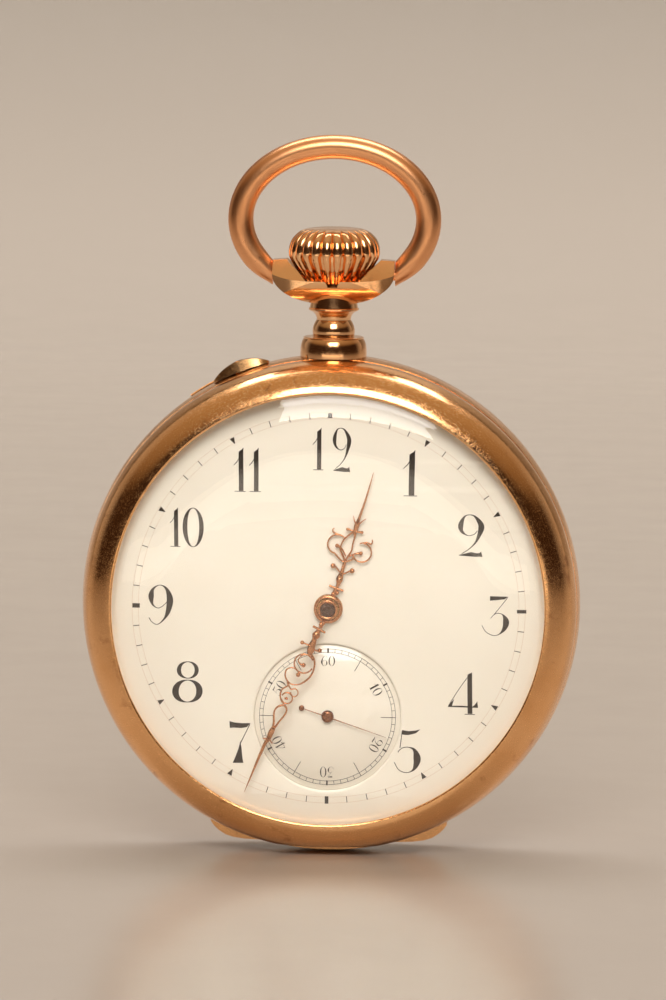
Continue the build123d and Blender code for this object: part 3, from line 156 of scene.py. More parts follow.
def ribbon(b, path, h0, t, place, section="flat", closed=False):
    """A strip with a width at each point: path of (x, y, w). t is its height."""
    p = np.array([q[:2] for q in path])
    w = np.array([q[2] for q in path])
    n = len(p)
    if closed:
        d = np.roll(p, -1, 0) - np.roll(p, 1, 0)
    else:
        d = np.gradient(p, axis=0)
    d /= np.maximum(np.linalg.norm(d, axis=1), 1e-9)[:, None]
    nrm = np.stack([-d[:, 1], d[:, 0]], 1)
    if section == "flat":
        sec = [(-0.5, 0), (-0.5, 1), (0.5, 1), (0.5, 0)]
    else:
        sec = [(-0.5, 0), (-0.5, 0.55), (-0.36, 0.86), (-0.16, 1.0), (0.16, 1.0), (0.36, 0.86), (0.5, 0.55), (0.5, 0)]
    k = len(sec)
    verts, faces = [], []
    for i in range(n):
        for s, z in sec:
            q = p[i] + nrm[i] * w[i] * s
            verts.append(place(q[0], q[1], h0 + t * z))
    for i in range(n if closed else n - 1):
        i2 = (i + 1) % n
        for j in range(k):
            j2 = (j + 1) % k
            faces.append([i * k + j, i * k + j2, i2 * k + j2, i2 * k + j])
    if not closed:
        faces.append(list(range(k)))
        faces.append([(n - 1) * k + j for j in range(k)][::-1])
    b.add(verts, faces)


def tube(b, pts, radii, k=20, cap=True):
    """A round bar along 3-D points in metres."""
    p = np.array(pts, float)
    n = len(p)
    t = np.gradient(p, axis=0)
    t /= np.linalg.norm(t, axis=1)[:, None]
    ref = np.array([0.0, 1.0, 0.0])
    verts, faces = [], []
    for i in range(n):
        u = np.cross(t[i], ref)
        u /= np.linalg.norm(u)
        v = np.cross(t[i], u)
        for j in range(k):
            a = 2 * math.pi * j / k
            verts.append(p[i] + radii[i] * (math.cos(a) * u + math.sin(a) * v))
    for i in range(n - 1):
        for j in range(k):
            j2 = (j + 1) % k
            faces.append([i * k + j, i * k + j2, (i + 1) * k + j2, (i + 1) * k + j])
    if cap:
        faces.append(list(range(k)))
        faces.append([(n - 1) * k + j for j in range(k)][::-1])
    b.add(verts, faces)


def circle(cx, cy, r, n=64, a0=0.0, a1=360.0):
    return [(cx + r * math.cos(math.radians(a0 + (a1 - a0) * i / n)),
             cy + r * math.sin(math.radians(a0 + (a1 - a0) * i / n))) for i in range(n + (a1 - a0 != 360.0))]


# ---------------------------------------------------------------- materials
def new_mat(name):
    m = bpy.data.materials.new(name)
    m.use_nodes = True
    nt = m.node_tree
    bsdf = nt.nodes["Principled BSDF"]
    return m, nt, bsdf


def node(nt, kind, **inputs):
    n = nt.nodes.new(kind)
    for k, v in inputs.items():
        if k.startswith("_"):
            setattr(n, k[1:], v)
        else:
            n.inputs[k].default_value = v
    return n


def math_node(nt, op, a, b=None, c=None):
    n = nt.nodes.new("ShaderNodeMath")
    n.operation = op
    for i, x in enumerate((a, b, c)):
        if x is None:
            continue
        if isinstance(x, (int, float)):
            n.inputs[i].default_value = x
        else:
            nt.links.new(x, n.inputs[i])
    return n.outputs[0]


def noise(nt, vec, scale, detail=4.0, rough=0.55, distort=0.0):
    n = nt.nodes.new("ShaderNodeTexNoise")
    n.inputs["Scale"].default_value = scale
    n.inputs["Detail"].default_value = detail
    n.inputs["Roughness"].default_value = rough
    n.inputs["Distortion"].default_value = distort
    if vec is not None:
        nt.links.new(vec, n.inputs["Vector"])
    return n.outputs["Fac"]


def ramp(nt, fac, stops, interp="LINEAR"):
    n = nt.nodes.new("ShaderNodeValToRGB")
    n.color_ramp.interpolation = interp
    el = n.color_ramp.elements
    el[0].position, el[0].color = stops[0][0], (*stops[0][1], 1)
    el[1].position, el[1].color = stops[-1][0], (*stops[-1][1], 1)
    for pos, col in stops[1:-1]:
        e = el.new(pos)
        e.color = (*col, 1)
    nt.links.new(fac, n.inputs["Fac"])
    return n.outputs["Color"]


def maprange(nt, fac, a, b, c, d):
    n = nt.nodes.new("ShaderNodeMapRange")
    n.inputs["From Min"].default_value = a
    n.inputs["From Max"].default_value = b
    n.inputs["To Min"].default_value = c
    n.inputs["To Max"].default_value = d
    nt.links.new(fac, n.inputs["Value"])
    return n.outputs["Result"]


def coords(nt):
    return nt.nodes.new("ShaderNodeTexCoord").outputs["Object"]


def polar(nt, co, centre=(0.0, ZC * MM), k_r=1.0, k_a=1.0):
    """(radius, angle, depth) about the dial axis, in metres and radians."""
    sep = nt.nodes.new("ShaderNodeSeparateXYZ")
    nt.links.new(co, sep.inputs[0])
    x = math_node(nt, "SUBTRACT", sep.outputs["X"], centre[0])
    z = math_node(nt, "SUBTRACT", sep.outputs["Z"], centre[1])
    r = math_node(nt, "SQRT", math_node(nt, "ADD", math_node(nt, "MULTIPLY", x, x), math_node(nt, "MULTIPLY", z, z)))
    a = math_node(nt, "ARCTAN2", z, x)
    com = nt.nodes.new("ShaderNodeCombineXYZ")
    nt.links.new(math_node(nt, "MULTIPLY", r, k_r), com.inputs["X"])
    nt.links.new(math_node(nt, "MULTIPLY", a, k_a), com.inputs["Y"])
    nt.links.new(sep.outputs["Y"], com.inputs["Z"])
    return com.outputs[0]


def bump(nt, height, strength, distance, normal_in=None):
    n = nt.nodes.new("ShaderNodeBump")
    n.inputs["Strength"].default_value = strength
    n.inputs["Distance"].default_value = distance
    nt.links.new(height, n.inputs["Height"])
    if normal_in is not None:
        nt.links.new(normal_in, n.inputs["Normal"])
    return n.outputs["Normal"]


def gold(name, light=(0.86, 0.56, 0.30), deep=(0.66, 0.36, 0.16), stain=(0.30, 0.09, 0.03),
         rough=0.16, circular=True, wear=1.0, stains=0.5, scratch=0.0):
    m, nt, b = new_mat(name)
    b.inputs["Metallic"].default_value = 1.0
    co = coords(nt)
    big = noise(nt, co, 130.0, 3.0, 0.6)
    col = ramp(nt, big, [(0.25, deep), (0.5, light), (0.8, light)])
    spots = noise(nt, co, 420.0, 5.0, 0.62, 0.4)
    mix = nt.nodes.new("ShaderNodeMix")
    mix.data_type = "RGBA"
    nt.links.new(maprange(nt, spots, 0.60, 0.72, 0.0, stains), mix.inputs["Factor"])
    nt.links.new(col, mix.inputs["A"])
    mix.inputs["B"].default_value = (*stain, 1)
    nt.links.new(mix.outputs["Result"], b.inputs["Base Color"])
    if circular:
        pv = polar(nt, co, k_r=1.0, k_a=0.0012)
        hair = noise(nt, pv, 9000.0, 2.0, 0.5)
    else:
        sc = nt.nodes.new("ShaderNodeMapping")
        sc.inputs["Scale"].default_value = (1.0, 0.35, 2.2)
        sc.inputs["Rotation"].default_value = (0.3, 0.6, 0.2)
        nt.links.new(co, sc.inputs["Vector"])
        hair = noise(nt, sc.outputs[0], 4200.0, 3.0, 0.6)
    fine = noise(nt, co, 1500.0, 5.0, 0.65)
    rgh = math_node(nt, "ADD", maprange(nt, hair, 0.3, 0.7, rough - 0.03 * wear, rough + 0.05 * wear),
                    maprange(nt, fine, 0.35, 0.75, -0.02 * wear, 0.07 * wear))
    n1 = bump(nt, hair, 0.10 * wear, 0.00001)
    n2 = bump(nt, fine, 0.10 * wear, 0.00003, n1)
    if scratch:
        # curled hairline scratches from the pocket, two sizes
        for size, amount in ((2900.0, 1.0), (1250.0, 0.6)):
            off = math_node(nt, "ABSOLUTE", math_node(nt, "SUBTRACT", noise(nt, co, size, 2.5, 0.6, 1.2), 0.5))
            line = maprange(nt, off, 0.0, 0.020, 1.0, 0.0)
            rgh = math_node(nt, "ADD", rgh, math_node(nt, "MULTIPLY", line, 0.14 * scratch * amount))
            n2 = bump(nt, line, 0.16 * scratch * amount, 0.000010, n2)
    nt.links.new(rgh, b.inputs["Roughness"])
    nt.links.new(n2, b.inputs["Normal"])
    return m


def enamel(name, a=(0.93, 0.89, 0.79), c=(0.905, 0.86, 0.755)):
    m, nt, b = new_mat(name)
    co = coords(nt)
    col = ramp(nt, noise(nt, co, 160.0, 3.0, 0.5), [(0.3, c), (0.7, a)])
    nt.links.new(col, b.inputs["Base Color"])
    nt.links.new(maprange(nt, noise(nt, co, 900.0, 3.0, 0.5), 0.3, 0.7, 0.07, 0.14), b.inputs["Roughness"])
    b.inputs["Coat Weight"].default_value = 0.25
    b.inputs["Coat Roughness"].default_value = 0.05
    b.inputs["Subsurface Weight"].default_value = 0.08
    b.inputs["Subsurface Radius"].default_value = (0.6, 0.5, 0.4)
    b.inputs["Subsurface Scale"].default_value = 0.0004
    nt.links.new(bump(nt, noise(nt, co, 350.0, 2.0, 0.5), 0.05, 0.00005), b.inputs["Normal"])
    return m


def ink(name, col=(0.022, 0.016, 0.012), col2=(0.05, 0.035, 0.025), rough=0.35):
    m, nt, b = new_mat(name)
    co = coords(nt)
    nt.links.new(ramp(nt, noise(nt, co, 5200.0, 4.0, 0.6), [(0.35, col), (0.75, col2)]), b.inputs["Base Color"])
    nt.links.new(maprange(nt, noise(nt, co, 2500.0, 3.0, 0.5), 0.3, 0.7, rough - 0.08, rough + 0.1), b.inputs["Roughness"])
    return m


def metal(name, col, col2, rough=0.22, scale=1400.0, grain=None):
    m, nt, b = new_mat(name)
    b.inputs["Metallic"].default_value = 1.0
    co = coords(nt)
    nt.links.new(ramp(nt, noise(nt, co, 220.0, 4.0, 0.6), [(0.3, col2), (0.7, col)]), b.inputs["Base Color"])
    if grain == "stripes":
        mp = nt.nodes.new("ShaderNodeMapping")
        mp.inputs["Rotation"].default_value = (0.0, math.radians(35), 0.0)
        nt.links.new(co, mp.inputs["Vector"])
        sep = nt.nodes.new("ShaderNodeSeparateXYZ")
        nt.links.new(mp.outputs[0], sep.inputs[0])
        w = math_node(nt, "PINGPONG", sep.outputs["X"], 0.0009)
        nrm = bump(nt, math_node(nt, "MULTIPLY", w, 1000.0), 0.35, 0.00008)
        f = noise(nt, mp.outputs[0], 5000.0, 2.0, 0.5)
        nrm = bump(nt, f, 0.15, 0.00001, nrm)
        nt.links.new(nrm, b.inputs["Normal"])
    else:
        nt.links.new(bump(nt, noise(nt, co, scale * 3, 3.0, 0.6), 0.12, 0.00001), b.inputs["Normal"])
    nt.links.new(maprange(nt, noise(nt, co, scale, 4.0, 0.6), 0.3, 0.7, rough - 0.06, rough + 0.10), b.inputs["Roughness"])
    return m


def crystal_glass():
    m, nt, b = new_mat("crystal_glass_mat")
    b.inputs["Base Color"].default_value = (1, 1, 1, 1)
    b.inputs["Roughness"].default_value = 0.0
    b.inputs["IOR"].default_value = 1.5
    b.inputs["Transmission Weight"].default_value = 1.0
    co = coords(nt)
    nt.links.new(maprange(nt, noise(nt, co, 3000.0, 4.0, 0.6), 0.55, 0.8, 0.0, 0.04), b.inputs["Roughness"])
    tr = nt.nodes.new("ShaderNodeBsdfTransparent")
    lp = nt.nodes.new("ShaderNodeLightPath")
    mx = nt.nodes.new("ShaderNodeMixShader")
    out = nt.nodes["Material Output"]
    nt.links.new(lp.outputs["Is Shadow Ray"], mx.inputs[0])
    nt.links.new(b.outputs[0], mx.inputs[1])
    nt.links.new(tr.outputs[0], mx.inputs[2])
    nt.links.new(mx.outputs[0], out.inputs["Surface"])
    return m


def ruby():
    m, nt, b = new_mat("ruby_mat")
    co = coords(nt)
    nt.links.new(ramp(nt, noise(nt, co, 2500.0, 3.0, 0.5), [(0.3, (0.42, 0.01, 0.05)), (0.7, (0.62, 0.03, 0.10))]),
                 b.inputs["Base Color"])
    b.inputs["Roughness"].default_value = 0.05
    b.inputs["IOR"].default_value = 1.77
    b.inputs["Transmission Weight"].default_value = 0.35
    return m


GOLD = gold("case_gold", rough=0.09, light=(0.96, 0.54, 0.25), deep=(0.86, 0.445, 0.18), scratch=1.3)
GOLD_PEN = gold("pendant_gold", light=(0.98, 0.58, 0.30), deep=(0.88, 0.46, 0.21), circular=False, rough=0.12, wear=0.7, stains=0.3, scratch=0.4)
GOLD_BOW = gold("bow_gold", light=(0.93, 0.46, 0.22), deep=(0.84, 0.38, 0.165), circular=False, rough=0.29, wear=0.45, stains=0.12, scratch=0.25)
GOLD_HAND = gold("hand_gold", light=(0.70, 0.34, 0.17), deep=(0.52, 0.22, 0.10), circular=False, rough=0.24, wear=0.7, stains=0.2)
GOLD_PIN = gold("pin_gold", light=(0.70, 0.40, 0.18), deep=(0.50, 0.25, 0.10), circular=False, rough=0.2, stains=0.6)
ENAMEL = enamel("dial_enamel")
ENAMEL2 = enamel("seconds_enamel", a=(0.925, 0.88, 0.78), c=(0.90, 0.85, 0.745))
INK = ink("black_enamel")
INK_FINE = ink("fine_track", col=(0.62, 0.47, 0.35), col2=(0.74, 0.58, 0.44), rough=0.4)
GLASS = crystal_glass()
RUBY = ruby()
GILT = metal("gilt_plate_mat", (0.86, 0.66, 0.34), (0.74, 0.52, 0.24), 0.34, 2600.0)
GILT_STRIPE = metal("striped_bridge_mat", (0.88, 0.68, 0.36), (0.78, 0.56, 0.27), 0.26, 1500.0, grain="stripes")
WHEEL = metal("wheel_mat", (0.88, 0.66, 0.30), (0.78, 0.54, 0.22), 0.2, 1500.0)
STEEL = metal("steel_mat", (0.66, 0.66, 0.68), (0.52, 0.52, 0.55), 0.18, 1500.0)
BLUED = metal("blued_mat", (0.06, 0.09, 0.34), (0.10, 0.05, 0.22), 0.18, 1500.0)
DARK_HAND = gold("seconds_hand_mat", light=(0.34, 0.15, 0.08), deep=(0.22, 0.09, 0.05), circular=False, rough=0.26, wear=0.7, stains=0.2)
DARK_STEEL = metal("dark_steel_mat", (0.20, 0.13, 0.10), (0.10, 0.06, 0.05), 0.25, 1500.0)

NODE_MAT = {}
for n in ("case_band", "front_bezel", "back_lid", "cuvette"):
    NODE_MAT[n] = GOLD
for n in ("pendant", "stem_sleeve", "crown"):
    NODE_MAT[n] = GOLD_PEN
NODE_MAT["bow"] = GOLD_BOW
for n in ("setting_pin_guard", "setting_pin"):
    NODE_MAT[n] = GOLD_PIN
for n in ("hour_hand", "minute_hand"):
    NODE_MAT[n] = GOLD_HAND
NODE_MAT["crystal"] = GLASS
NODE_MAT["dial"] = ENAMEL
NODE_MAT["seconds_dial"] = ENAMEL2
for n in ("main_plate", "pallet_cock"):
    NODE_MAT[n] = GILT
for n in ("barrel_bridge", "train_bridge", "balance_cock"):
    NODE_MAT[n] = GILT_STRIPE
for n in ("barrel", "barrel_cover", "center_wheel", "third_wheel", "fourth_wheel", "hour_wheel", "minute_wheel", "balance_wheel"):
    NODE_MAT[n] = WHEEL
for n in ("cannon_pinion", "center_pinion"):
    NODE_MAT[n] = DARK_STEEL
for n in ("seconds_hand", "hairspring", "bridge_screws", "ratchet_screw", "crown_wheel_screw"):
    NODE_MAT[n] = BLUED
for n in ("jewels", "pallet_stones"):
    NODE_MAT[n] = RUBY
for n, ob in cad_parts.items():
    mat = NODE_MAT.get(n, STEEL)
    if isinstance(ob, bpy.types.Object) and ob.type == "MESH":
        if not ob.material_slots:
            ob.data.materials.append(mat)
        for s in ob.material_slots:
            s.material = mat


# strokes of the hands, pointing at twelve: (x, y, width) in mm
HOUR_STROKES = [
    [(0.066, 1.32, 0.35), (0.09, 1.908, 0.3), (0.143, 2.241, 0.3)],
    [(-0.632, 2.287, 0.175), (0.119, 2.234, 0.2), (0.886, 2.212, 0.175)],
    [(0.16, 2.352, 0.2), (0.182, 2.782, 0.35), (0.156, 3.196, 0.55), (0.146, 3.562, 0.45), (0.15, 3.88, 0.25)],
    [(0.185, 3.522, 0.3), (0.139, 4.247, 0.275), (0.13, 4.692, 0.275), (0.105, 5.186, 0.225)],
    [(0.196, 3.736, 0.15), (-0.212, 4.03, 0.125), (-0.541, 4.243, 0.125), (-0.785, 4.351, 0.175)],
    [(0.243, 3.751, 0.15), (0.579, 4.016, 0.125), (0.86, 4.289, 0.125), (1.028, 4.421, 0.175)],
    [(0.103, 5.027, 0.15), (-0.3, 5.058, 0.125), (-1.099, 5.527, 0.125), (-1.3, 5.54, 0.125), (-1.495, 5.596, 0.125), (-1.673, 5.691, 0.125), (-1.827, 5.822, 0.125), (-1.951, 5.983, 0.125), (-2.038, 6.167, 0.125), (-2.085, 6.365, 0.125), (-2.089, 6.568, 0.125), (-2.051, 6.767, 0.125), (-1.971, 6.953, 0.125), (-1.855, 7.118, 0.125), (-1.706, 7.254, 0.125), (-1.531, 7.356, 0.125), (-1.34, 7.418, 0.125), (-1.139, 7.438, 0.125), (-0.938, 7.415, 0.125), (-0.624, 7.332, 0.1)],
    [(-1.144, 7.485, 0.1), (-1.555, 7.461, 0.125), (-1.887, 7.515, 0.125), (-2.01, 7.74, 0.1), (-1.913, 7.929, 0.075)],
    [(0.198, 5.057, 0.15), (0.743, 5.493, 0.125), (0.684, 5.87, 0.125), (0.821, 5.725, 0.125), (0.985, 5.611, 0.125), (1.169, 5.534, 0.125), (1.364, 5.498, 0.125), (1.563, 5.502, 0.125), (1.756, 5.549, 0.125), (1.935, 5.634, 0.125), (2.093, 5.756, 0.125), (2.221, 5.908, 0.125), (2.316, 6.083, 0.125), (2.372, 6.275, 0.125), (2.387, 6.474, 0.125), (2.361, 6.672, 0.125), (2.294, 6.861, 0.125), (2.19, 7.031, 0.125), (2.053, 7.176, 0.125), (1.889, 7.29, 0.125), (1.705, 7.367, 0.125), (1.509, 7.404, 0.125), (1.311, 7.399, 0.125)],
    [(0.973, 7.255, 0.1), (1.563, 7.546, 0.125), (2.038, 7.538, 0.125), (2.105, 7.823, 0.1), (1.997, 8, 0.075)],
    [(0.032, 5.585, 0.1), (-0.436, 6.071, 0.125), (-0.876, 6.302, 0.2), (-1.144, 6.323, 0.25)],
    [(0.238, 5.597, 0.1), (0.687, 6.003, 0.125), (1.086, 6.234, 0.2), (1.419, 6.34, 0.25)],
    [(0.121, 5.138, 0.15), (-0.362, 5.672, 0.15), (-0.72, 6.14, 0.125), (-0.708, 6.936, 0.125), (-0.463, 7.488, 0.125), (-0.107, 8.023, 0.15), (0.055, 8.338, 0.175)],
    [(0.121, 5.138, 0.15), (0.288, 5.772, 0.15), (0.399, 6.335, 0.125), (0.321, 6.996, 0.125), (0.298, 7.57, 0.15), (0.211, 8.176, 0.2)],
    [(-0.595, 8.239, 0.225), (-0.279, 8.233, 0.15), (0.141, 8.233, 0.175), (0.537, 8.305, 0.15), (0.807, 8.364, 0.225)],
    [(0.192, 7.906, 0.25), (0.151, 8.368, 0.35), (0.118, 8.886, 0.425), (0.123, 9.204, 0.3), (0.088, 9.563, 0.2)],
    [(0.095, 8.878, 0.15), (-0.217, 9.202, 0.1), (-0.38, 9.468, 0.075), (-0.503, 9.693, 0.05)],
    [(0.214, 8.916, 0.15), (0.433, 9.302, 0.1), (0.611, 9.569, 0.075), (0.78, 9.781, 0.05)],
    [(0.136, 8.997, 0.25), (0.121, 9.626, 0.225), (0.159, 11.169, 0.175), (0.134, 12.745, 0.125), (0.055, 14.409, 0.037)],
]
HOUR_BEADS = [(-0.001, 1.615, 0.2), (0.35, 1.832, 0.2), (-0.873, 4.297, 0.25), (1.083, 4.412, 0.25), (-1.121, 6.331, 0.2), (1.364, 6.349, 0.2), (-0.643, 8.224, 0.15), (0.831, 8.372, 0.15), (0.171, 3.148, 0.3)]
MINUTE_STROKES = [
    [(-0.169, 1.215, 0.35), (-0.084, 1.638, 0.3), (-0.069, 1.975, 0.3)],
    [(0.665, 2.109, 0.175), (-0.04, 2.154, 0.2), (-0.733, 2.176, 0.175)],
    [(-0.04, 2.154, 0.2), (-0.023, 2.547, 0.5), (-0.011, 2.828, 0.65), (0.003, 3.165, 0.4)],
    [(-0.004, 2.997, 0.35), (-0.049, 3.528, 0.45), (-0.071, 4.069, 0.6), (-0.164, 4.524, 0.55), (-0.196, 4.84, 0.25)],
    [(-0.163, 4.028, 0.15), (0.285, 4.007, 0.125), (0.656, 4.034, 0.125), (0.892, 4.057, 0.175)],
    [(-0.158, 4.141, 0.15), (-0.514, 4.203, 0.125), (-0.783, 4.193, 0.125), (-0.945, 4.066, 0.175)],
    [(-0.755, 5.253, 0.125), (-0.589, 5.116, 0.125), (-0.398, 5.019, 0.125), (-0.19, 4.967, 0.125), (0.024, 4.964, 0.125), (0.233, 5.009, 0.125), (0.427, 5.099, 0.125), (0.595, 5.231, 0.125), (0.73, 5.397, 0.125), (0.824, 5.59, 0.125), (0.873, 5.799, 0.125), (0.873, 6.014, 0.125), (0.826, 6.224, 0.125), (0.734, 6.418, 0.125), (0.601, 6.587, 0.125), (0.433, 6.722, 0.125), (0.24, 6.816, 0.125), (0.032, 6.864, 0.125), (-0.182, 6.865, 0.125), (-0.391, 6.817, 0.125), (-0.583, 6.724, 0.125), (-0.749, 6.59, 0.125), (-0.881, 6.421, 0.125), (-0.973, 6.227, 0.125), (-1.018, 6.017, 0.125)],
    [(-0.246, 4.708, 0.175), (-0.771, 5.025, 0.15), (-1.126, 5.639, 0.15), (-1.246, 6.523, 0.15), (-1.035, 7.278, 0.15), (-0.628, 7.9, 0.125), (-0.12, 8.236, 0.1), (0.398, 8.301, 0.125), (0.859, 8.066, 0.125), (1.157, 7.703, 0.125), (1.225, 7.182, 0.125), (0.896, 6.814, 0.1), (0.489, 6.744, 0.1), (0.113, 6.852, 0.125), (-0.056, 7.107, 0.2)],
    [(0.17, 5.003, 0.125), (0.499, 5.37, 0.1), (0.543, 5.886, 0.1), (0.171, 6.106, 0.175), (-0.078, 6.05, 0.25)],
    [(0.688, 8.265, 0.125), (0.453, 8.546, 0.15), (0.599, 8.832, 0.125), (0.817, 9.205, 0.125), (0.772, 9.736, 0.125), (0.412, 10.237, 0.125), (-0.006, 10.437, 0.15)],
    [(0.428, 8.48, 0.125), (0.015, 8.792, 0.125), (-0.33, 8.584, 0.1), (-0.683, 8.702, 0.1), (-0.804, 9.034, 0.1), (-0.612, 9.34, 0.1), (-0.276, 9.324, 0.1), (-0.062, 9.089, 0.1)],
    [(0.56, 9.724, 0.125), (0.523, 9.575, 0.125), (0.447, 9.441, 0.125), (0.337, 9.335, 0.125), (0.202, 9.263, 0.125), (0.052, 9.231, 0.125), (-0.101, 9.242, 0.125), (-0.245, 9.295, 0.125), (-0.37, 9.386, 0.125), (-0.464, 9.508, 0.125), (-0.522, 9.651, 0.125), (-0.538, 9.804, 0.125), (-0.512, 9.955, 0.125), (-0.445, 10.094, 0.125), (-0.343, 10.208, 0.125), (-0.213, 10.289, 0.125), (-0.066, 10.331, 0.125), (0.087, 10.331, 0.125), (0.235, 10.288, 0.125), (0.365, 10.206, 0.125), (0.468, 10.091, 0.125)],
    [(0.24, 9.885, 0.125), (0.037, 9.849, 0.2), (-0.1, 9.788, 0.15)],
    [(-0.046, 10.529, 0.2), (0.253, 10.717, 0.175), (0.536, 11.064, 0.15), (0.601, 11.534, 0.15), (0.401, 12.106, 0.15), (0.175, 12.612, 0.175), (0.021, 13.205, 0.225)],
    [(-0.046, 10.529, 0.2), (-0.352, 10.723, 0.15), (-0.495, 11.045, 0.15), (-0.451, 11.561, 0.15), (-0.266, 12.25, 0.15), (-0.151, 12.853, 0.175), (0.001, 13.251, 0.225)],
    [(-0.009, 13.026, 0.35), (0.015, 13.588, 0.45), (-0.007, 14.129, 0.375), (0.011, 14.578, 0.3)],
    [(-0.017, 13.904, 0.125), (0.109, 14.236, 0.1), (0.342, 14.45, 0.1), (0.566, 14.439, 0.075)],
    [(0.013, 14.083, 0.125), (-0.201, 14.318, 0.1), (-0.374, 14.462, 0.1), (-0.573, 14.539, 0.075)],
    [(-0.028, 14.175, 0.3), (0.092, 14.89, 0.275), (0.087, 16.376, 0.225), (0.025, 18.112, 0.15), (-0.037, 20.096, 0.037)],
]
MINUTE_BEADS = [(-0.017, 1.613, 0.25), (0.948, 4.054, 0.2), (-0.968, 4.055, 0.225), (-0.111, 6.063, 0.225), (-0.03, 7.174, 0.225), (0.009, 2.782, 0.35), (0.047, 9.826, 0.15)]

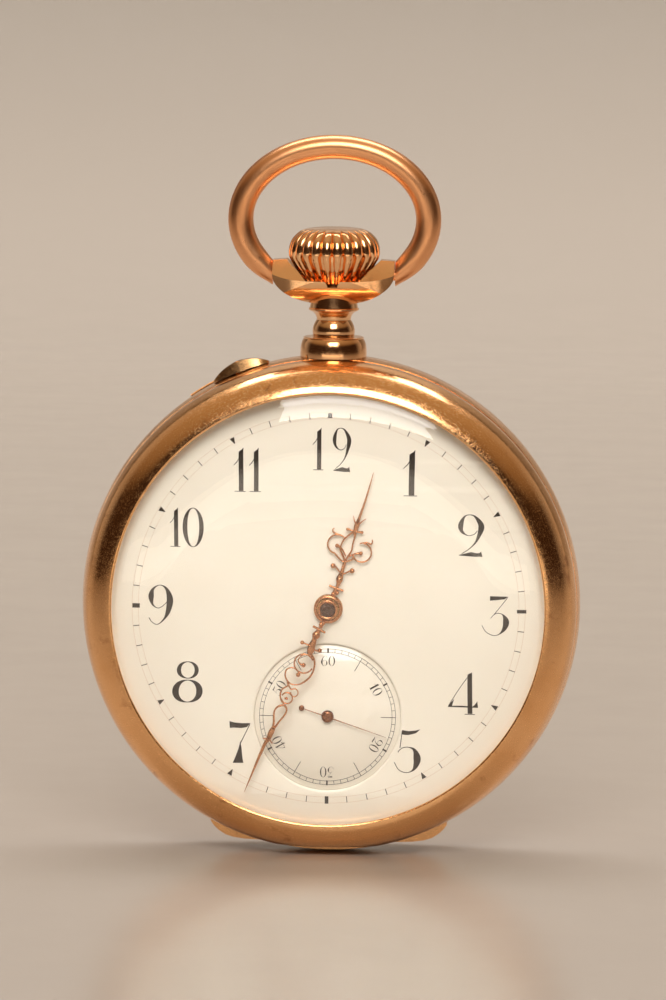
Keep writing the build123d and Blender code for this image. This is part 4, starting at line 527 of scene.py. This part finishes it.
# digits at unit height
GLYPHS = {
    "0": {
        "loop": [
            [(0.285, 0.990, 0.014), (0.320, 0.984, 0.020), (0.355, 0.966, 0.031), (0.387, 0.937, 0.045), (0.417, 0.896, 0.061), (0.444, 0.846, 0.078), (0.467, 0.788, 0.093), (0.485, 0.722, 0.106), (0.499, 0.651, 0.116), (0.507, 0.577, 0.123), (0.510, 0.500, 0.125), (0.507, 0.423, 0.123), (0.499, 0.349, 0.116), (0.485, 0.278, 0.106), (0.467, 0.212, 0.093), (0.444, 0.154, 0.078), (0.417, 0.104, 0.061), (0.387, 0.063, 0.045), (0.355, 0.034, 0.031), (0.320, 0.016, 0.020), (0.285, 0.010, 0.014), (0.250, 0.016, 0.020), (0.215, 0.034, 0.031), (0.183, 0.063, 0.045), (0.153, 0.104, 0.061), (0.126, 0.154, 0.078), (0.103, 0.212, 0.093), (0.085, 0.278, 0.106), (0.071, 0.349, 0.116), (0.063, 0.423, 0.123), (0.060, 0.500, 0.125), (0.063, 0.577, 0.123), (0.071, 0.651, 0.116), (0.085, 0.722, 0.106), (0.103, 0.788, 0.093), (0.126, 0.846, 0.078), (0.153, 0.896, 0.061), (0.183, 0.937, 0.045), (0.215, 0.966, 0.031), (0.250, 0.984, 0.020)],
        ],
        "span": (0.000, 0.570),
    },
    "1": {
        "poly": [
            [(-0.050, 0.020), (-0.050, 0.900), (0.020, 0.955), (0.057, 1.000), (0.050, 0.930), (0.050, 0.020)],
        ],
        "stroke": [
            [(0.045, 0.985, 0.012), (0.000, 0.860, 0.012), (-0.070, 0.700, 0.012), (-0.151, 0.600, 0.016)],
            [(-0.140, 0.008, 0.016), (0.100, 0.008, 0.016)],
        ],
        "span": (-0.151, 0.100),
    },
    "2": {
        "poly": [
            [(0.034, 0.044), (0.107, 0.057), (0.208, 0.084), (0.309, 0.111), (0.409, 0.084), (0.483, 0.084), (0.523, 0.124), (0.554, -0.010), (0.493, 0.003), (0.409, -0.003), (0.034, 0.023)],
        ],
        "stroke": [
            [(0.426, 0.621, 0.010), (0.359, 0.537, 0.010), (0.225, 0.507, 0.013), (0.091, 0.604, 0.067), (0.060, 0.755, 0.114), (0.124, 0.940, 0.047), (0.225, 1.000, 0.013), (0.359, 0.966, 0.040), (0.493, 0.789, 0.114), (0.510, 0.671, 0.128), (0.470, 0.520, 0.087), (0.393, 0.336, 0.040), (0.258, 0.185, 0.020), (0.091, 0.067, 0.013)],
        ],
        "span": (0.000, 0.570),
    },
    "3": {
        "poly": [
            [(0.195, 1.000), (0.664, 0.990), (0.560, 0.925), (0.397, 0.906), (0.195, 0.886)],
        ],
        "stroke": [
            [(0.642, 0.964, 0.013), (0.463, 0.736, 0.013), (0.300, 0.528, 0.013)],
            [(0.218, 0.436, 0.013), (0.300, 0.528, 0.010), (0.397, 0.567, 0.010), (0.528, 0.528, 0.033), (0.609, 0.365, 0.156), (0.577, 0.202, 0.117), (0.463, 0.055, 0.033), (0.300, 0.000, 0.013), (0.104, 0.088, 0.010), (0.000, 0.251, 0.010)],
        ],
        "span": (0.000, 0.690),
    },
    "4": {
        "poly": [
            [(0.450, 0.939), (0.557, 0.994), (0.557, 0.021), (0.450, 0.021)],
            [(0.000, 0.177), (0.128, 0.196), (0.312, 0.202), (0.557, 0.190), (0.602, 0.220), (0.673, 0.318), (0.685, 0.165), (0.000, 0.165)],
            [(0.000, 0.171), (0.067, 0.266), (0.147, 0.358), (0.128, 0.297), (0.104, 0.220), (0.098, 0.177)],
        ],
        "stroke": [
            [(0.520, 0.969, 0.012), (0.312, 0.679, 0.012), (0.128, 0.388, 0.015), (0.012, 0.183, 0.018)],
            [(0.382, 0.006, 0.015), (0.612, 0.006, 0.015)],
        ],
        "span": (0.000, 0.680),
    },
    "5": {
        "poly": [
            [(0.158, 0.976), (0.164, 0.872), (0.224, 0.863), (0.299, 0.863), (0.448, 0.907), (0.543, 1.000), (0.448, 0.970), (0.299, 0.952)],
        ],
        "stroke": [
            [(0.161, 0.952, 0.012), (0.143, 0.767, 0.012), (0.119, 0.558, 0.012)],
            [(0.084, 0.454, 0.012), (0.096, 0.493, 0.012), (0.179, 0.564, 0.012), (0.299, 0.579, 0.015), (0.418, 0.522, 0.066), (0.472, 0.349, 0.149), (0.448, 0.185, 0.107), (0.376, 0.057, 0.036), (0.239, 0.006, 0.012), (0.090, 0.066, 0.012), (0.000, 0.230, 0.012)],
        ],
        "span": (0.000, 0.545),
    },
    "6": {
        "stroke": [
            [(0.268, 0.539, 0.014), (0.374, 0.581, 0.014), (0.499, 0.493, 0.046), (0.535, 0.286, 0.129), (0.480, 0.101, 0.055), (0.319, 0.009, 0.014), (0.167, 0.101, 0.065), (0.084, 0.355, 0.157), (0.121, 0.631, 0.120), (0.213, 0.839, 0.046), (0.374, 0.986, 0.018), (0.512, 0.931, 0.014), (0.582, 0.825, 0.023)],
            [(0.268, 0.539, 0.014), (0.176, 0.447, 0.014), (0.130, 0.355, 0.014)],
        ],
        "span": (0.000, 0.600),
    },
    "7": {
        "poly": [
            [(0.000, 1.000), (0.099, 0.969), (0.278, 0.951), (0.471, 0.960), (0.390, 0.861), (0.278, 0.834), (0.099, 0.843), (0.009, 0.834)],
            [(0.247, 0.520), (0.211, 0.341), (0.152, 0.161), (0.090, 0.000), (0.327, 0.000), (0.296, 0.161), (0.278, 0.341)],
        ],
        "stroke": [
            [(0.457, 0.933, 0.018), (0.359, 0.709, 0.018), (0.251, 0.466, 0.022)],
        ],
        "span": (0.000, 0.470),
    },
    "8": {
        "loop": [
            [(0.364, 0.990, 0.016), (0.398, 0.988, 0.020), (0.430, 0.980, 0.029), (0.462, 0.968, 0.040), (0.490, 0.952, 0.052), (0.516, 0.931, 0.064), (0.538, 0.908, 0.076), (0.556, 0.881, 0.086), (0.568, 0.852, 0.094), (0.576, 0.821, 0.098), (0.579, 0.790, 0.100), (0.576, 0.759, 0.098), (0.568, 0.728, 0.094), (0.556, 0.699, 0.086), (0.538, 0.672, 0.076), (0.516, 0.649, 0.064), (0.490, 0.628, 0.052), (0.462, 0.612, 0.040), (0.430, 0.600, 0.029), (0.398, 0.592, 0.020), (0.364, 0.590, 0.016), (0.330, 0.592, 0.020), (0.298, 0.600, 0.029), (0.266, 0.612, 0.040), (0.238, 0.628, 0.052), (0.212, 0.649, 0.064), (0.190, 0.672, 0.076), (0.172, 0.699, 0.086), (0.160, 0.728, 0.094), (0.152, 0.759, 0.098), (0.149, 0.790, 0.100), (0.152, 0.821, 0.098), (0.160, 0.852, 0.094), (0.172, 0.881, 0.086), (0.190, 0.908, 0.076), (0.212, 0.931, 0.064), (0.238, 0.952, 0.052), (0.266, 0.968, 0.040), (0.298, 0.980, 0.029), (0.330, 0.988, 0.020)],
            [(0.364, 0.543, 0.016), (0.409, 0.540, 0.023), (0.452, 0.530, 0.037), (0.493, 0.514, 0.055), (0.532, 0.492, 0.075), (0.566, 0.465, 0.096), (0.595, 0.434, 0.115), (0.618, 0.398, 0.132), (0.635, 0.360, 0.144), (0.645, 0.319, 0.152), (0.649, 0.278, 0.155), (0.645, 0.237, 0.152), (0.635, 0.196, 0.144), (0.618, 0.158, 0.132), (0.595, 0.122, 0.115), (0.566, 0.091, 0.096), (0.532, 0.064, 0.075), (0.493, 0.042, 0.055), (0.452, 0.026, 0.037), (0.409, 0.016, 0.023), (0.364, 0.013, 0.016), (0.319, 0.016, 0.023), (0.276, 0.026, 0.037), (0.235, 0.042, 0.055), (0.196, 0.064, 0.075), (0.162, 0.091, 0.096), (0.133, 0.122, 0.115), (0.110, 0.158, 0.132), (0.093, 0.196, 0.144), (0.083, 0.237, 0.152), (0.079, 0.278, 0.155), (0.083, 0.319, 0.152), (0.093, 0.360, 0.144), (0.110, 0.398, 0.132), (0.133, 0.434, 0.115), (0.162, 0.465, 0.096), (0.196, 0.492, 0.075), (0.235, 0.514, 0.055), (0.276, 0.530, 0.037), (0.319, 0.540, 0.023)],
        ],
        "span": (0.000, 0.728),
    },
    "9": {
        "stroke": [
            [(0.332, 0.461, 0.014), (0.226, 0.419, 0.014), (0.101, 0.507, 0.046), (0.065, 0.714, 0.129), (0.120, 0.899, 0.055), (0.281, 0.991, 0.014), (0.433, 0.899, 0.065), (0.516, 0.645, 0.157), (0.479, 0.369, 0.120), (0.387, 0.161, 0.046), (0.226, 0.014, 0.018), (0.088, 0.069, 0.014), (0.018, 0.175, 0.023)],
            [(0.332, 0.461, 0.014), (0.424, 0.553, 0.014), (0.470, 0.645, 0.014)],
        ],
        "span": (0.000, 0.600),
    },
}


# ------------------------------------------------------------ case, outside
SECOND = (0.0, -10.9)
CW_H, CW_M, CW_S = 17.5, 204.0, 108.5


def sm(pts, k=6):
    return [tuple(q) for q in catmull(pts, k)]


b = Build()
bez = [(21.75, 2.05), (21.75, 2.80), (21.80, 2.83), (22.30, 2.84), (22.36, 2.86), (22.36, 3.16), (22.34, 3.21), (21.57, 3.62), (21.55, 3.65), (21.575, 3.78)]
bez += sm([(21.6, 3.84), (21.68, 3.878), (21.8, 3.88), (22.35, 3.68), (23.0, 3.27), (23.65, 2.66), (24.2, 1.85), (24.55, 0.9), (24.66, 0.35), (24.7, -0.2)], 7)
bez += [(24.68, -0.42), (24.60, -0.52), (23.5, -0.52), (23.5, 0.9), (22.9, 0.95), (22.7, 2.05)]
lathe(b, bez, 480, lambda x, y, t: dial_pt(x, max(y, -24.08), t))
b.make("bezel_ring", GOLD, angle=40, replaces=("front_bezel",))

b = Build()
cr = [(0, 5.0), (4, 4.995), (9, 4.985)] + sm([(13, 4.965), (15.2, 4.93), (16.4, 4.87), (17.4, 4.74), (18.4, 4.53), (19.4, 4.28), (20.3, 4.0), (20.95, 3.76), (21.3, 3.64), (21.5, 3.57)], 5)
cr += [(22.33, 3.15), (22.33, 2.87), (21.5, 2.87)]
cr += sm([(21.5, 2.87), (21.05, 3.06), (20.4, 3.27), (19.5, 3.50), (18.4, 3.74), (17.2, 3.93), (16.0, 4.03), (14.5, 4.07), (12, 4.085), (9, 4.092), (6, 4.096), (3, 4.099)], 4)[1:] + [(0, 4.1)]
lathe(b, cr, 320, dial_pt, closed=False)
b.make("crystal_glass_dome", GLASS, angle=40, replaces=("crystal",))


# --------------------------------------------------------------------- dial
def ring_faces(b, cx, cy, prof, n, place=dial_pt):
    lathe(b, prof, n, lambda x, y, t: place(x + cx, y + cy, t), closed=False)


N_LIP = 160
b = Build()
outer = circle(0, 0, 22.0, 240)
hole = circle(*SECOND, 7.62, N_LIP)
hub = circle(0, 0, 1.45, 48)
loops = [outer, hole, hub]
tri = tessellate_polygon([[Vector((x, y, 0)) for x, y in lp] for lp in loops])
flat = [p for lp in loops for p in lp]
b.add([dial_pt(x, y, 1.8) for x, y in flat], [list(t) for t in tri])
b.add([dial_pt(x, y, 1.0) for x, y in flat], [list(t)[::-1] for t in tri])
lathe(b, [(22.0, 1.8), (22.06, 1.78), (22.1, 1.72), (22.1, 1.06), (22.0, 1.0)], 240, dial_pt, closed=False)
lathe(b, [(1.45, 1.0), (1.45, 1.8)], 48, dial_pt, closed=False)
ring_faces(b, *SECOND, [(7.62, 1.8), (7.54, 1.79), (7.45, 1.765), (7.38, 1.72), (7.33, 1.66), (7.30, 1.58), (7.30, 1.46), (7.32, 1.44), (7.62, 1.44), (7.62, 1.0)], N_LIP)
b.make("dial_enamel_plate", ENAMEL, angle=50, replaces=("dial",))

TOP, SUB = 1.8, 1.45
T_INK = 0.018


def glyph(b, ch, x0, y0, w, h, level, rot=0.0, origin=(0.0, 0.0), bold=1.0):
    """Digit ch in the box at (x0, y0) of size (w, h), then turned by rot about origin."""
    g = GLYPHS[ch]
    s0, s1 = g["span"]
    kx = w / (s1 - s0)
    ca, sa = math.cos(rot), math.sin(rot)

    def pl(x, y, t):
        X, Y = x0 + (x - s0) * kx, y0 + y * h
        return dial_pt(origin[0] + X * ca - Y * sa, origin[1] + X * sa + Y * ca, t)

    for poly in g.get("poly", []):
        prism(b, poly, level - 0.004, level + T_INK, place=pl)
    for st in g.get("stroke", []):
        ribbon(b, [(x, y, max(q * bold, 0.016)) for x, y, q in catmull(st, 5)], level - 0.004, T_INK + 0.004, pl)
    for lp in g.get("loop", []):
        ribbon(b, [(x, y, max(q * bold, 0.014)) for x, y, q in lp], level - 0.004, T_INK + 0.004, pl, closed=True)


# hour numbers: (digit, left, bottom, width, height)
b = Build()
HOURS = [
    ("1", -1.68, 13.85, 1.05, 4.15), ("2", 0.28, 13.72, 1.82, 4.25),
    ("1", 7.32, 11.38, 1.40, 4.53),
    ("2", 12.82, 5.44, 2.50, 4.13),
    ("3", 15.32, -2.42, 2.60, 3.93),
    ("4", 12.02, -10.37, 2.90, 4.23),
    ("5", 6.72, -16.31, 2.60, 4.33),
    ("7", -9.78, -15.61, 2.10, 4.13),
    ("8", -15.48, -9.67, 3.00, 4.13),
    ("9", -17.88, -1.91, 2.40, 4.03),
    ("1", -15.78, 5.94, 0.98, 3.93), ("0", -14.55, 5.94, 2.05, 3.93),
    ("1", -9.48, 11.58, 1.15, 4.33), ("1", -7.98, 11.58, 1.15, 4.33),
]
for ch, x, y, w, h in HOURS:
    glyph(b, ch, x, y, w, h, TOP)


def rect(b, ang, r0, r1, w0, level, w1=None, origin=(0.0, 0.0)):
    a = math.radians(ang)
    w1 = w0 if w1 is None else w1
    ca, sa = math.cos(a), math.sin(a)

    def pt(r, s):
        return (origin[0] + r * sa + s * ca, origin[1] + r * ca - s * sa)
    prism(b, [pt(r0, -w0 / 2), pt(r1, -w1 / 2), pt(r1, w1 / 2), pt(r0, w0 / 2)], level - 0.004, level + T_INK)


# marks at the hours
rect(b, 0, 18.98, 19.42, 0.42, TOP)
rect(b, 90, 18.70, 19.60, 0.34, TOP)
rect(b, 270, 18.75, 19.47, 0.44, TOP)
rect(b, 180, 18.82, 19.56, 0.36, TOP)
for k in (1, 2, 4, 5, 7, 8, 10, 11):
    rect(b, 30 * k, 18.78, 19.42, 0.04, TOP, 0.50)
b.make("hour_numbers", INK, replaces=(), smooth=False)

b = Build()
for m in range(60):
    if m % 5:
        rect(b, 6 * m, 18.90, 19.50, 0.075, TOP)
b.make("minute_marks", INK, smooth=False)


def hairline(b, r, w, level, origin=(0.0, 0.0), n=240):
    lathe(b, [(r - w / 2, level - 0.004), (r - w / 2, level + 0.010), (r + w / 2, level + 0.010), (r + w / 2, level - 0.004)],
          n, lambda x, y, t: dial_pt(x + origin[0], y + origin[1], t))


b = Build()
hairline(b, 18.9, 0.028, TOP)
hairline(b, 19.5, 0.028, TOP)
b.make("minute_track_rings", INK_FINE, smooth=False)

# seconds
b = Build()
lathe(b, [(0.62, SUB), (7.28, SUB), (7.30, SUB - 0.02), (7.30, 1.0), (0.62, 1.0)], 160,
      lambda x, y, t: dial_pt(x + SECOND[0], y + SECOND[1], t))
b.make("seconds_enamel_plate", ENAMEL2, angle=50, replaces=("seconds_dial",))

b = Build()
hairline(b, 6.80, 0.040, SUB, SECOND, 160)
hairline(b, 6.45, 0.040, SUB, SECOND, 160)
for s in range(60):
    if s % 10 == 5:
        rect(b, 6 * s, 5.32, 6.80, 0.055, SUB, origin=SECOND)
    elif s % 10 == 0:
        rect(b, 6 * s, 6.40, 6.86, 0.16, SUB, origin=SECOND)
    else:
        rect(b, 6 * s, 6.45, 6.80, 0.045, SUB, origin=SECOND)
for k, txt in ((0, "60"), (1, "10"), (2, "20"), (3, "30"), (4, "40"), (5, "50")):
    rot = -math.radians(60 * k)
    widths = [{"1": 0.42}.get(c, 0.66) for c in txt]
    total = sum(widths) + 0.10
    x = -total / 2
    for c, w in zip(txt, widths):
        glyph(b, c, x, 5.08, w, 1.03, SUB, rot, SECOND, bold=0.85)
        x += w + 0.10
b.make("seconds_marks", INK, smooth=False)


# -------------------------------------------------------------------- hands
def hand(name, body, strokes, beads, cw, level, t, mat, node_name, origin=(0.0, 0.0), extra=None, grow=1.0):
    a = -math.radians(cw)
    ca, sa = math.cos(a), math.sin(a)

    def pl(x, y, h):
        return dial_pt(origin[0] + x * ca - y * sa, origin[1] + x * sa + y * ca, h)
    b = Build()
    for st in strokes:
        ribbon(b, [(x, y, max(w, 0.03) * grow) for x, y, w in catmull(st, 6)], level, t, pl, section="round")
    for x, y, r in beads:
        lathe(b, [(0, level + t * 1.45), (r * 0.45, level + t * 1.33), (r * 0.8, level + t), (r, level + t * 0.5), (r, level), (0, level)],
              20, lambda u, v, h: pl(x + u, y + v, h), closed=False)
    if extra:
        extra(b, pl)
    return b.make(name, mat, body, angle=50, replaces=(node_name,))


def hour_boss(b, pl):
    lathe(b, [(0.98, 2.1), (0.98, 2.30), (1.02, 2.36), (1.10, 2.42), (1.20, 2.45), (1.31, 2.42), (1.40, 2.33), (1.43, 2.22), (1.43, 2.12), (1.40, 2.1)], 72, pl)


def minute_boss(b, pl):
    lathe(b, [(0.30, 2.7), (0.30, 3.02), (0.36, 3.06), (0.46, 3.05), (0.52, 2.98), (0.60, 2.95), (0.72, 2.95), (0.80, 3.0), (0.90, 3.02), (0.98, 2.97), (1.02, 2.86), (1.02, 2.7)], 64, pl)


hand("hour_hand_louis", "hour_work", HOUR_STROKES, HOUR_BEADS, CW_H, 2.1, 0.2, GOLD_HAND, "hour_hand", extra=hour_boss, grow=1.22)
hand("minute_hand_louis", "minute_work", MINUTE_STROKES, MINUTE_BEADS, CW_M, 2.7, 0.2, GOLD_HAND, "minute_hand", extra=minute_boss, grow=1.22)


def seconds_boss(b, pl):
    lathe(b, [(0.0, 1.98), (0.10, 1.975), (0.16, 1.95), (0.24, 1.945), (0.34, 1.97), (0.46, 1.95), (0.54, 1.88), (0.57, 1.80), (0.57, 1.76), (0.50, 1.75), (0.0, 1.75)], 48, pl, closed=False)


SEC_STROKES = [[(0, -2.72, 0.075), (0, -1.4, 0.085), (0, -0.4, 0.11)], [(0, 0.3, 0.15), (0, 1.0, 0.10), (0, 3.0, 0.075), (0, 5.0, 0.05), (0, 6.2, 0.03)]]
hand("seconds_hand_needle", "fourth_wheel", SEC_STROKES, [(0, -2.72, 0.28)], CW_S, 1.80, 0.08, DARK_HAND, "seconds_hand", origin=SECOND, extra=seconds_boss)


# ---------------------------------------------------------------------- bow
b = Build()
BOW_A, BOW_B, BOW_C, BOW_R, BOW_PIVOT = 9.38, 7.22, 38.5, 1.265, 33.0
BOW_END = 6.13


def bow_point(t, a):
    """A point of the bow's skin: t along the oval, a around the wire, in mm."""
    tx, tz = -BOW_A * math.sin(t), BOW_B * math.cos(t)
    ln = math.hypot(tx, tz)
    t_foot = math.acos(BOW_END / BOW_A)
    near = min(t + t_foot, math.pi + t_foot - t) / 0.30
    r = BOW_R - 0.05 * (1 - abs(math.cos(t)) ** 2)
    r -= 0.26 * (1 - max(0.0, min(1.0, near))) ** 1.4
    return (BOW_A * math.cos(t) + r * math.cos(a) * tz / ln, YS + r * math.sin(a),
            BOW_C + BOW_B * math.sin(t) - r * math.cos(a) * tx / ln)


n, k = 200, 44
rings = []
for j in range(k):
    a = 2 * math.pi * j / k
    lo, hi = -1.35, 0.0
    for _ in range(40):
        mid = (lo + hi) / 2
        if bow_point(mid, a)[0] < BOW_END:
            lo = mid
        else:
            hi = mid
    t0, t1 = hi, math.pi - hi
    rings.append([bow_point(t0 + (t1 - t0) * i / n, a) for i in range(n + 1)])
verts = [(q[0] * MM, q[1] * MM, (ZC + q[2]) * MM) for i in range(n + 1) for q in (rings[j][i] for j in range(k))]
faces = [[i * k + j, i * k + (j + 1) % k, (i + 1) * k + (j + 1) % k, (i + 1) * k + j] for i in range(n) for j in range(k)]
faces.append(list(range(k))[::-1])
faces.append([n * k + j for j in range(k)])
b.add(verts, faces)
for s in (-1, 1):
    lathe(b, [(0.0, 7.0), (0.55, 7.0), (0.55, 5.1), (0, 5.1)], 40, lambda x, y, t: (s * t * MM, (YS + x) * MM, (ZC + BOW_PIVOT + y) * MM), closed=False)
b.make("bow_ring", GOLD_BOW, "bow", angle=50, replaces=("bow",))

# -------------------------------------------------------------------- crown
crown_pts = [(0.6, 37.71), (1.5, 37.70), (2.1, 37.66), (2.7, 37.58), (3.1, 37.46), (3.5, 37.28), (3.85, 37.0), (4.2, 36.6), (4.4, 36.2), (4.52, 35.8), (4.57, 35.4), (4.57, 35.1), (4.52, 34.85), (4.46, 34.65), (4.40, 34.45), (4.30, 34.28), (4.20, 34.1), (4.03, 33.8), (3.85, 33.5), (3.67, 33.25), (3.5, 33.0), (3.3, 32.75), (3.1, 32.48), (2.9, 32.2)]
crown_pts = [(0.0, 37.72)] + [tuple(q) for q in catmull(crown_pts, 4)]
N_FLUTE = 24


def ease(x):
    x = max(0.0, min(1.0, x))
    return x * x * (3 - 2 * x)


def flute(r, t, a):
    u = (a * N_FLUTE / (2 * math.pi)) % 1.0 - 0.5
    lobe = math.sqrt(max(0.0, 1 - (1.96 * u) ** 2))
    up = 0.52 * (1 - lobe) * ease((r - 2.3) / 1.9) if t > 35 else 0.52 * (1 - lobe)
    # below the swell the ribs narrow and the gaps open to arched pockets
    half = 0.27 - 0.06 * ease((34.4 - t) / 1.8)
    s = max(0.0, min(1.0, (abs(u) - half) / 0.10))
    lo = 0.05 + 0.62 * s ** 0.6 + 0.10 * (u / half) ** 2 * (s == 0)
    k = ease((35.05 - 0.75 * (1 - abs(u) * 2) * 0.9 + 0.30 - t) / 0.30)
    return r - (up * (1 - k) + lo * k)


b = Build()
lathe(b, crown_pts + [(1.5, 32.2), (0.62, 32.2)], N_FLUTE * 28, stem_pt, closed=False, fn=lambda r, t, a: flute(r, t, a) if r > 2.3 else r)
b.make("crown_onion", GOLD_PEN, "crown", angle=60, replaces=("crown",))


# ------------------------------------------------------- stage, light, camera
def backdrop():
    m, nt, bs = new_mat("backdrop_paper")
    co = coords(nt)
    paper = ramp(nt, noise(nt, co, 2.0, 2.0, 0.5), [(0.3, (0.69, 0.635, 0.575)), (0.7, (0.73, 0.67, 0.605))])
    # painted shade: the darker floor colour laid in front of and near the watch
    shaded_floor_col = ramp(nt, noise(nt, co, 3.0, 2.0, 0.5), [(0.3, (0.47, 0.42, 0.38)), (0.7, (0.50, 0.45, 0.405))])
    sep = nt.nodes.new("ShaderNodeSeparateXYZ")
    nt.links.new(co, sep.inputs[0])
    mix = nt.nodes.new("ShaderNodeMix")
    mix.data_type = "RGBA"
    # painted shade: the floor is painted darker in front of and near the watch and paler away from it, and the paper
    # behind is painted darker as it rises
    floor_shade_fade = ramp(nt, maprange(nt, sep.outputs["Y"], -0.1, 0.7, 0.0, 1.0),
                [(p, (g, g, g)) for p, g in ((0.0, 0.10), (0.07, 0.16), (0.13, 0.33), (0.256, 0.42), (0.375, 0.54),
                                             (0.52, 0.62), (0.73, 0.68), (1.0, 0.92))])
    nt.links.new(floor_shade_fade, mix.inputs["Factor"])
    nt.links.new(shaded_floor_col, mix.inputs["A"])
    nt.links.new(paper, mix.inputs["B"])
    mix2 = nt.nodes.new("ShaderNodeMix")
    mix2.data_type = "RGBA"
    # painted shade: above about 75 mm the backdrop paper takes a darker flat colour
    nt.links.new(maprange(nt, sep.outputs["Z"], 0.004, 0.075, 0.0, 1.0), mix2.inputs["Factor"])
    nt.links.new(mix.outputs["Result"], mix2.inputs["A"])
    mix2.inputs["B"].default_value = (0.43, 0.39, 0.34, 1)
    nt.links.new(mix2.outputs["Result"], bs.inputs["Base Color"])
    nt.links.new(maprange(nt, noise(nt, co, 60.0, 3.0, 0.5), 0.3, 0.7, 0.20, 0.25), bs.inputs["Roughness"])
    nt.links.new(bump(nt, noise(nt, co, 800.0, 3.0, 0.6), 0.03, 0.0001), bs.inputs["Normal"])
    prof = [(-0.9, 0.0), (0.55, 0.0)]
    R = 0.5
    for i in range(1, 25):
        a = math.pi / 2 * i / 24
        prof.append((0.55 + R * math.sin(a), R - R * math.cos(a)))
    prof.append((0.55 + R, 1.9))
    me = bpy.data.meshes.new("backdrop")
    W = 1.6
    vs = [(-W, y, z) for y, z in prof] + [(W, y, z) for y, z in prof]
    k = len(prof)
    me.from_pydata(vs, [], [[i, i + 1, i + 1 + k, i + k] for i in range(k - 1)])
    me.shade_smooth()
    me.materials.append(m)
    ob = bpy.data.objects.new("backdrop", me)
    bpy.context.scene.collection.objects.link(ob)
    return ob


backdrop()


def area(name, loc, target, size, power, col=(1, 1, 1), size_y=None):
    li = bpy.data.lights.new(name, "AREA")
    li.energy = power
    li.color = col
    li.shape = "RECTANGLE"
    li.size = size
    li.size_y = size_y or size
    ob = bpy.data.objects.new(name, li)
    ob.location = loc
    d = Vector(target) - Vector(loc)
    ob.rotation_euler = d.to_track_quat("-Z", "Y").to_euler()
    bpy.context.scene.collection.objects.link(ob)
    return ob


TGT = (0, 0, 0.03)
area("softbox_key", (0.03, -0.66, 0.52), TGT, 0.42, 2.95, (1.0, 0.945, 0.875), 0.30)
area("wash_back", (0.0, 0.46, 1.35), (0, 0.80, 0.20), 1.4, 12.3, (1.0, 0.985, 0.98), 0.5)
area("table_card", (0.0, -0.33, 0.020), (0, 0, 0.012), 0.50, 0.07, (1.0, 0.88, 0.72), 0.04)

w = bpy.data.worlds.new("studio")
bpy.context.scene.world = w
w.use_nodes = True
wt = w.node_tree
bg = wt.nodes["Background"]
wco = wt.nodes.new("ShaderNodeTexCoord")
wsep = wt.nodes.new("ShaderNodeSeparateXYZ")
wt.links.new(wco.outputs["Generated"], wsep.inputs[0])
# a dark room in front of the watch, a dim warm ceiling and pale paper behind
up = maprange(wt, wsep.outputs["Z"], 0.35, 0.95, 0.0, 1.0)
wcol = ramp(wt, up, [(0.0, (0.040, 0.020, 0.010)), (0.22, (0.26, 0.165, 0.085)), (1.0, (0.58, 0.42, 0.25))])
wmix = wt.nodes.new("ShaderNodeMix")
wmix.data_type = "RGBA"
wt.links.new(maprange(wt, wsep.outputs["Y"], 0.0, 0.6, 0.0, 1.0), wmix.inputs["Factor"])
wt.links.new(wcol, wmix.inputs["A"])
wmix.inputs["B"].default_value = (0.62, 0.52, 0.43, 1)
wt.links.new(wmix.outputs["Result"], bg.inputs["Color"])
bg.inputs["Strength"].default_value = 0.9


def camera():
    az, el, roll = math.radians(3.232), math.radians(6.395), math.radians(0.5315)
    D = 0.600
    tgt = Vector((0.0001645, 0.0, 0.0354864))
    fwd = Vector((-math.sin(az) * math.cos(el), math.cos(az) * math.cos(el), -math.sin(el)))
    right = Vector((math.cos(az), math.sin(az), 0))
    up = right.cross(fwd)
    R = right * math.cos(roll) + up * math.sin(roll)
    U = -right * math.sin(roll) + up * math.cos(roll)
    cam = bpy.data.cameras.new("camera")
    ob = bpy.data.objects.new("camera", cam)
    m = Matrix((R, U, -fwd)).transposed().to_4x4()
    m.translation = tgt - fwd * D
    ob.matrix_world = m
    cam.sensor_width = 36.0
    cam.sensor_fit = "AUTO"
    cam.lens = 215.93
    cam.clip_start = 0.01
    cam.clip_end = 20
    bpy.context.scene.collection.objects.link(ob)
    bpy.context.scene.camera = ob


camera()
bpy.context.scene.view_settings.view_transform = "Standard"
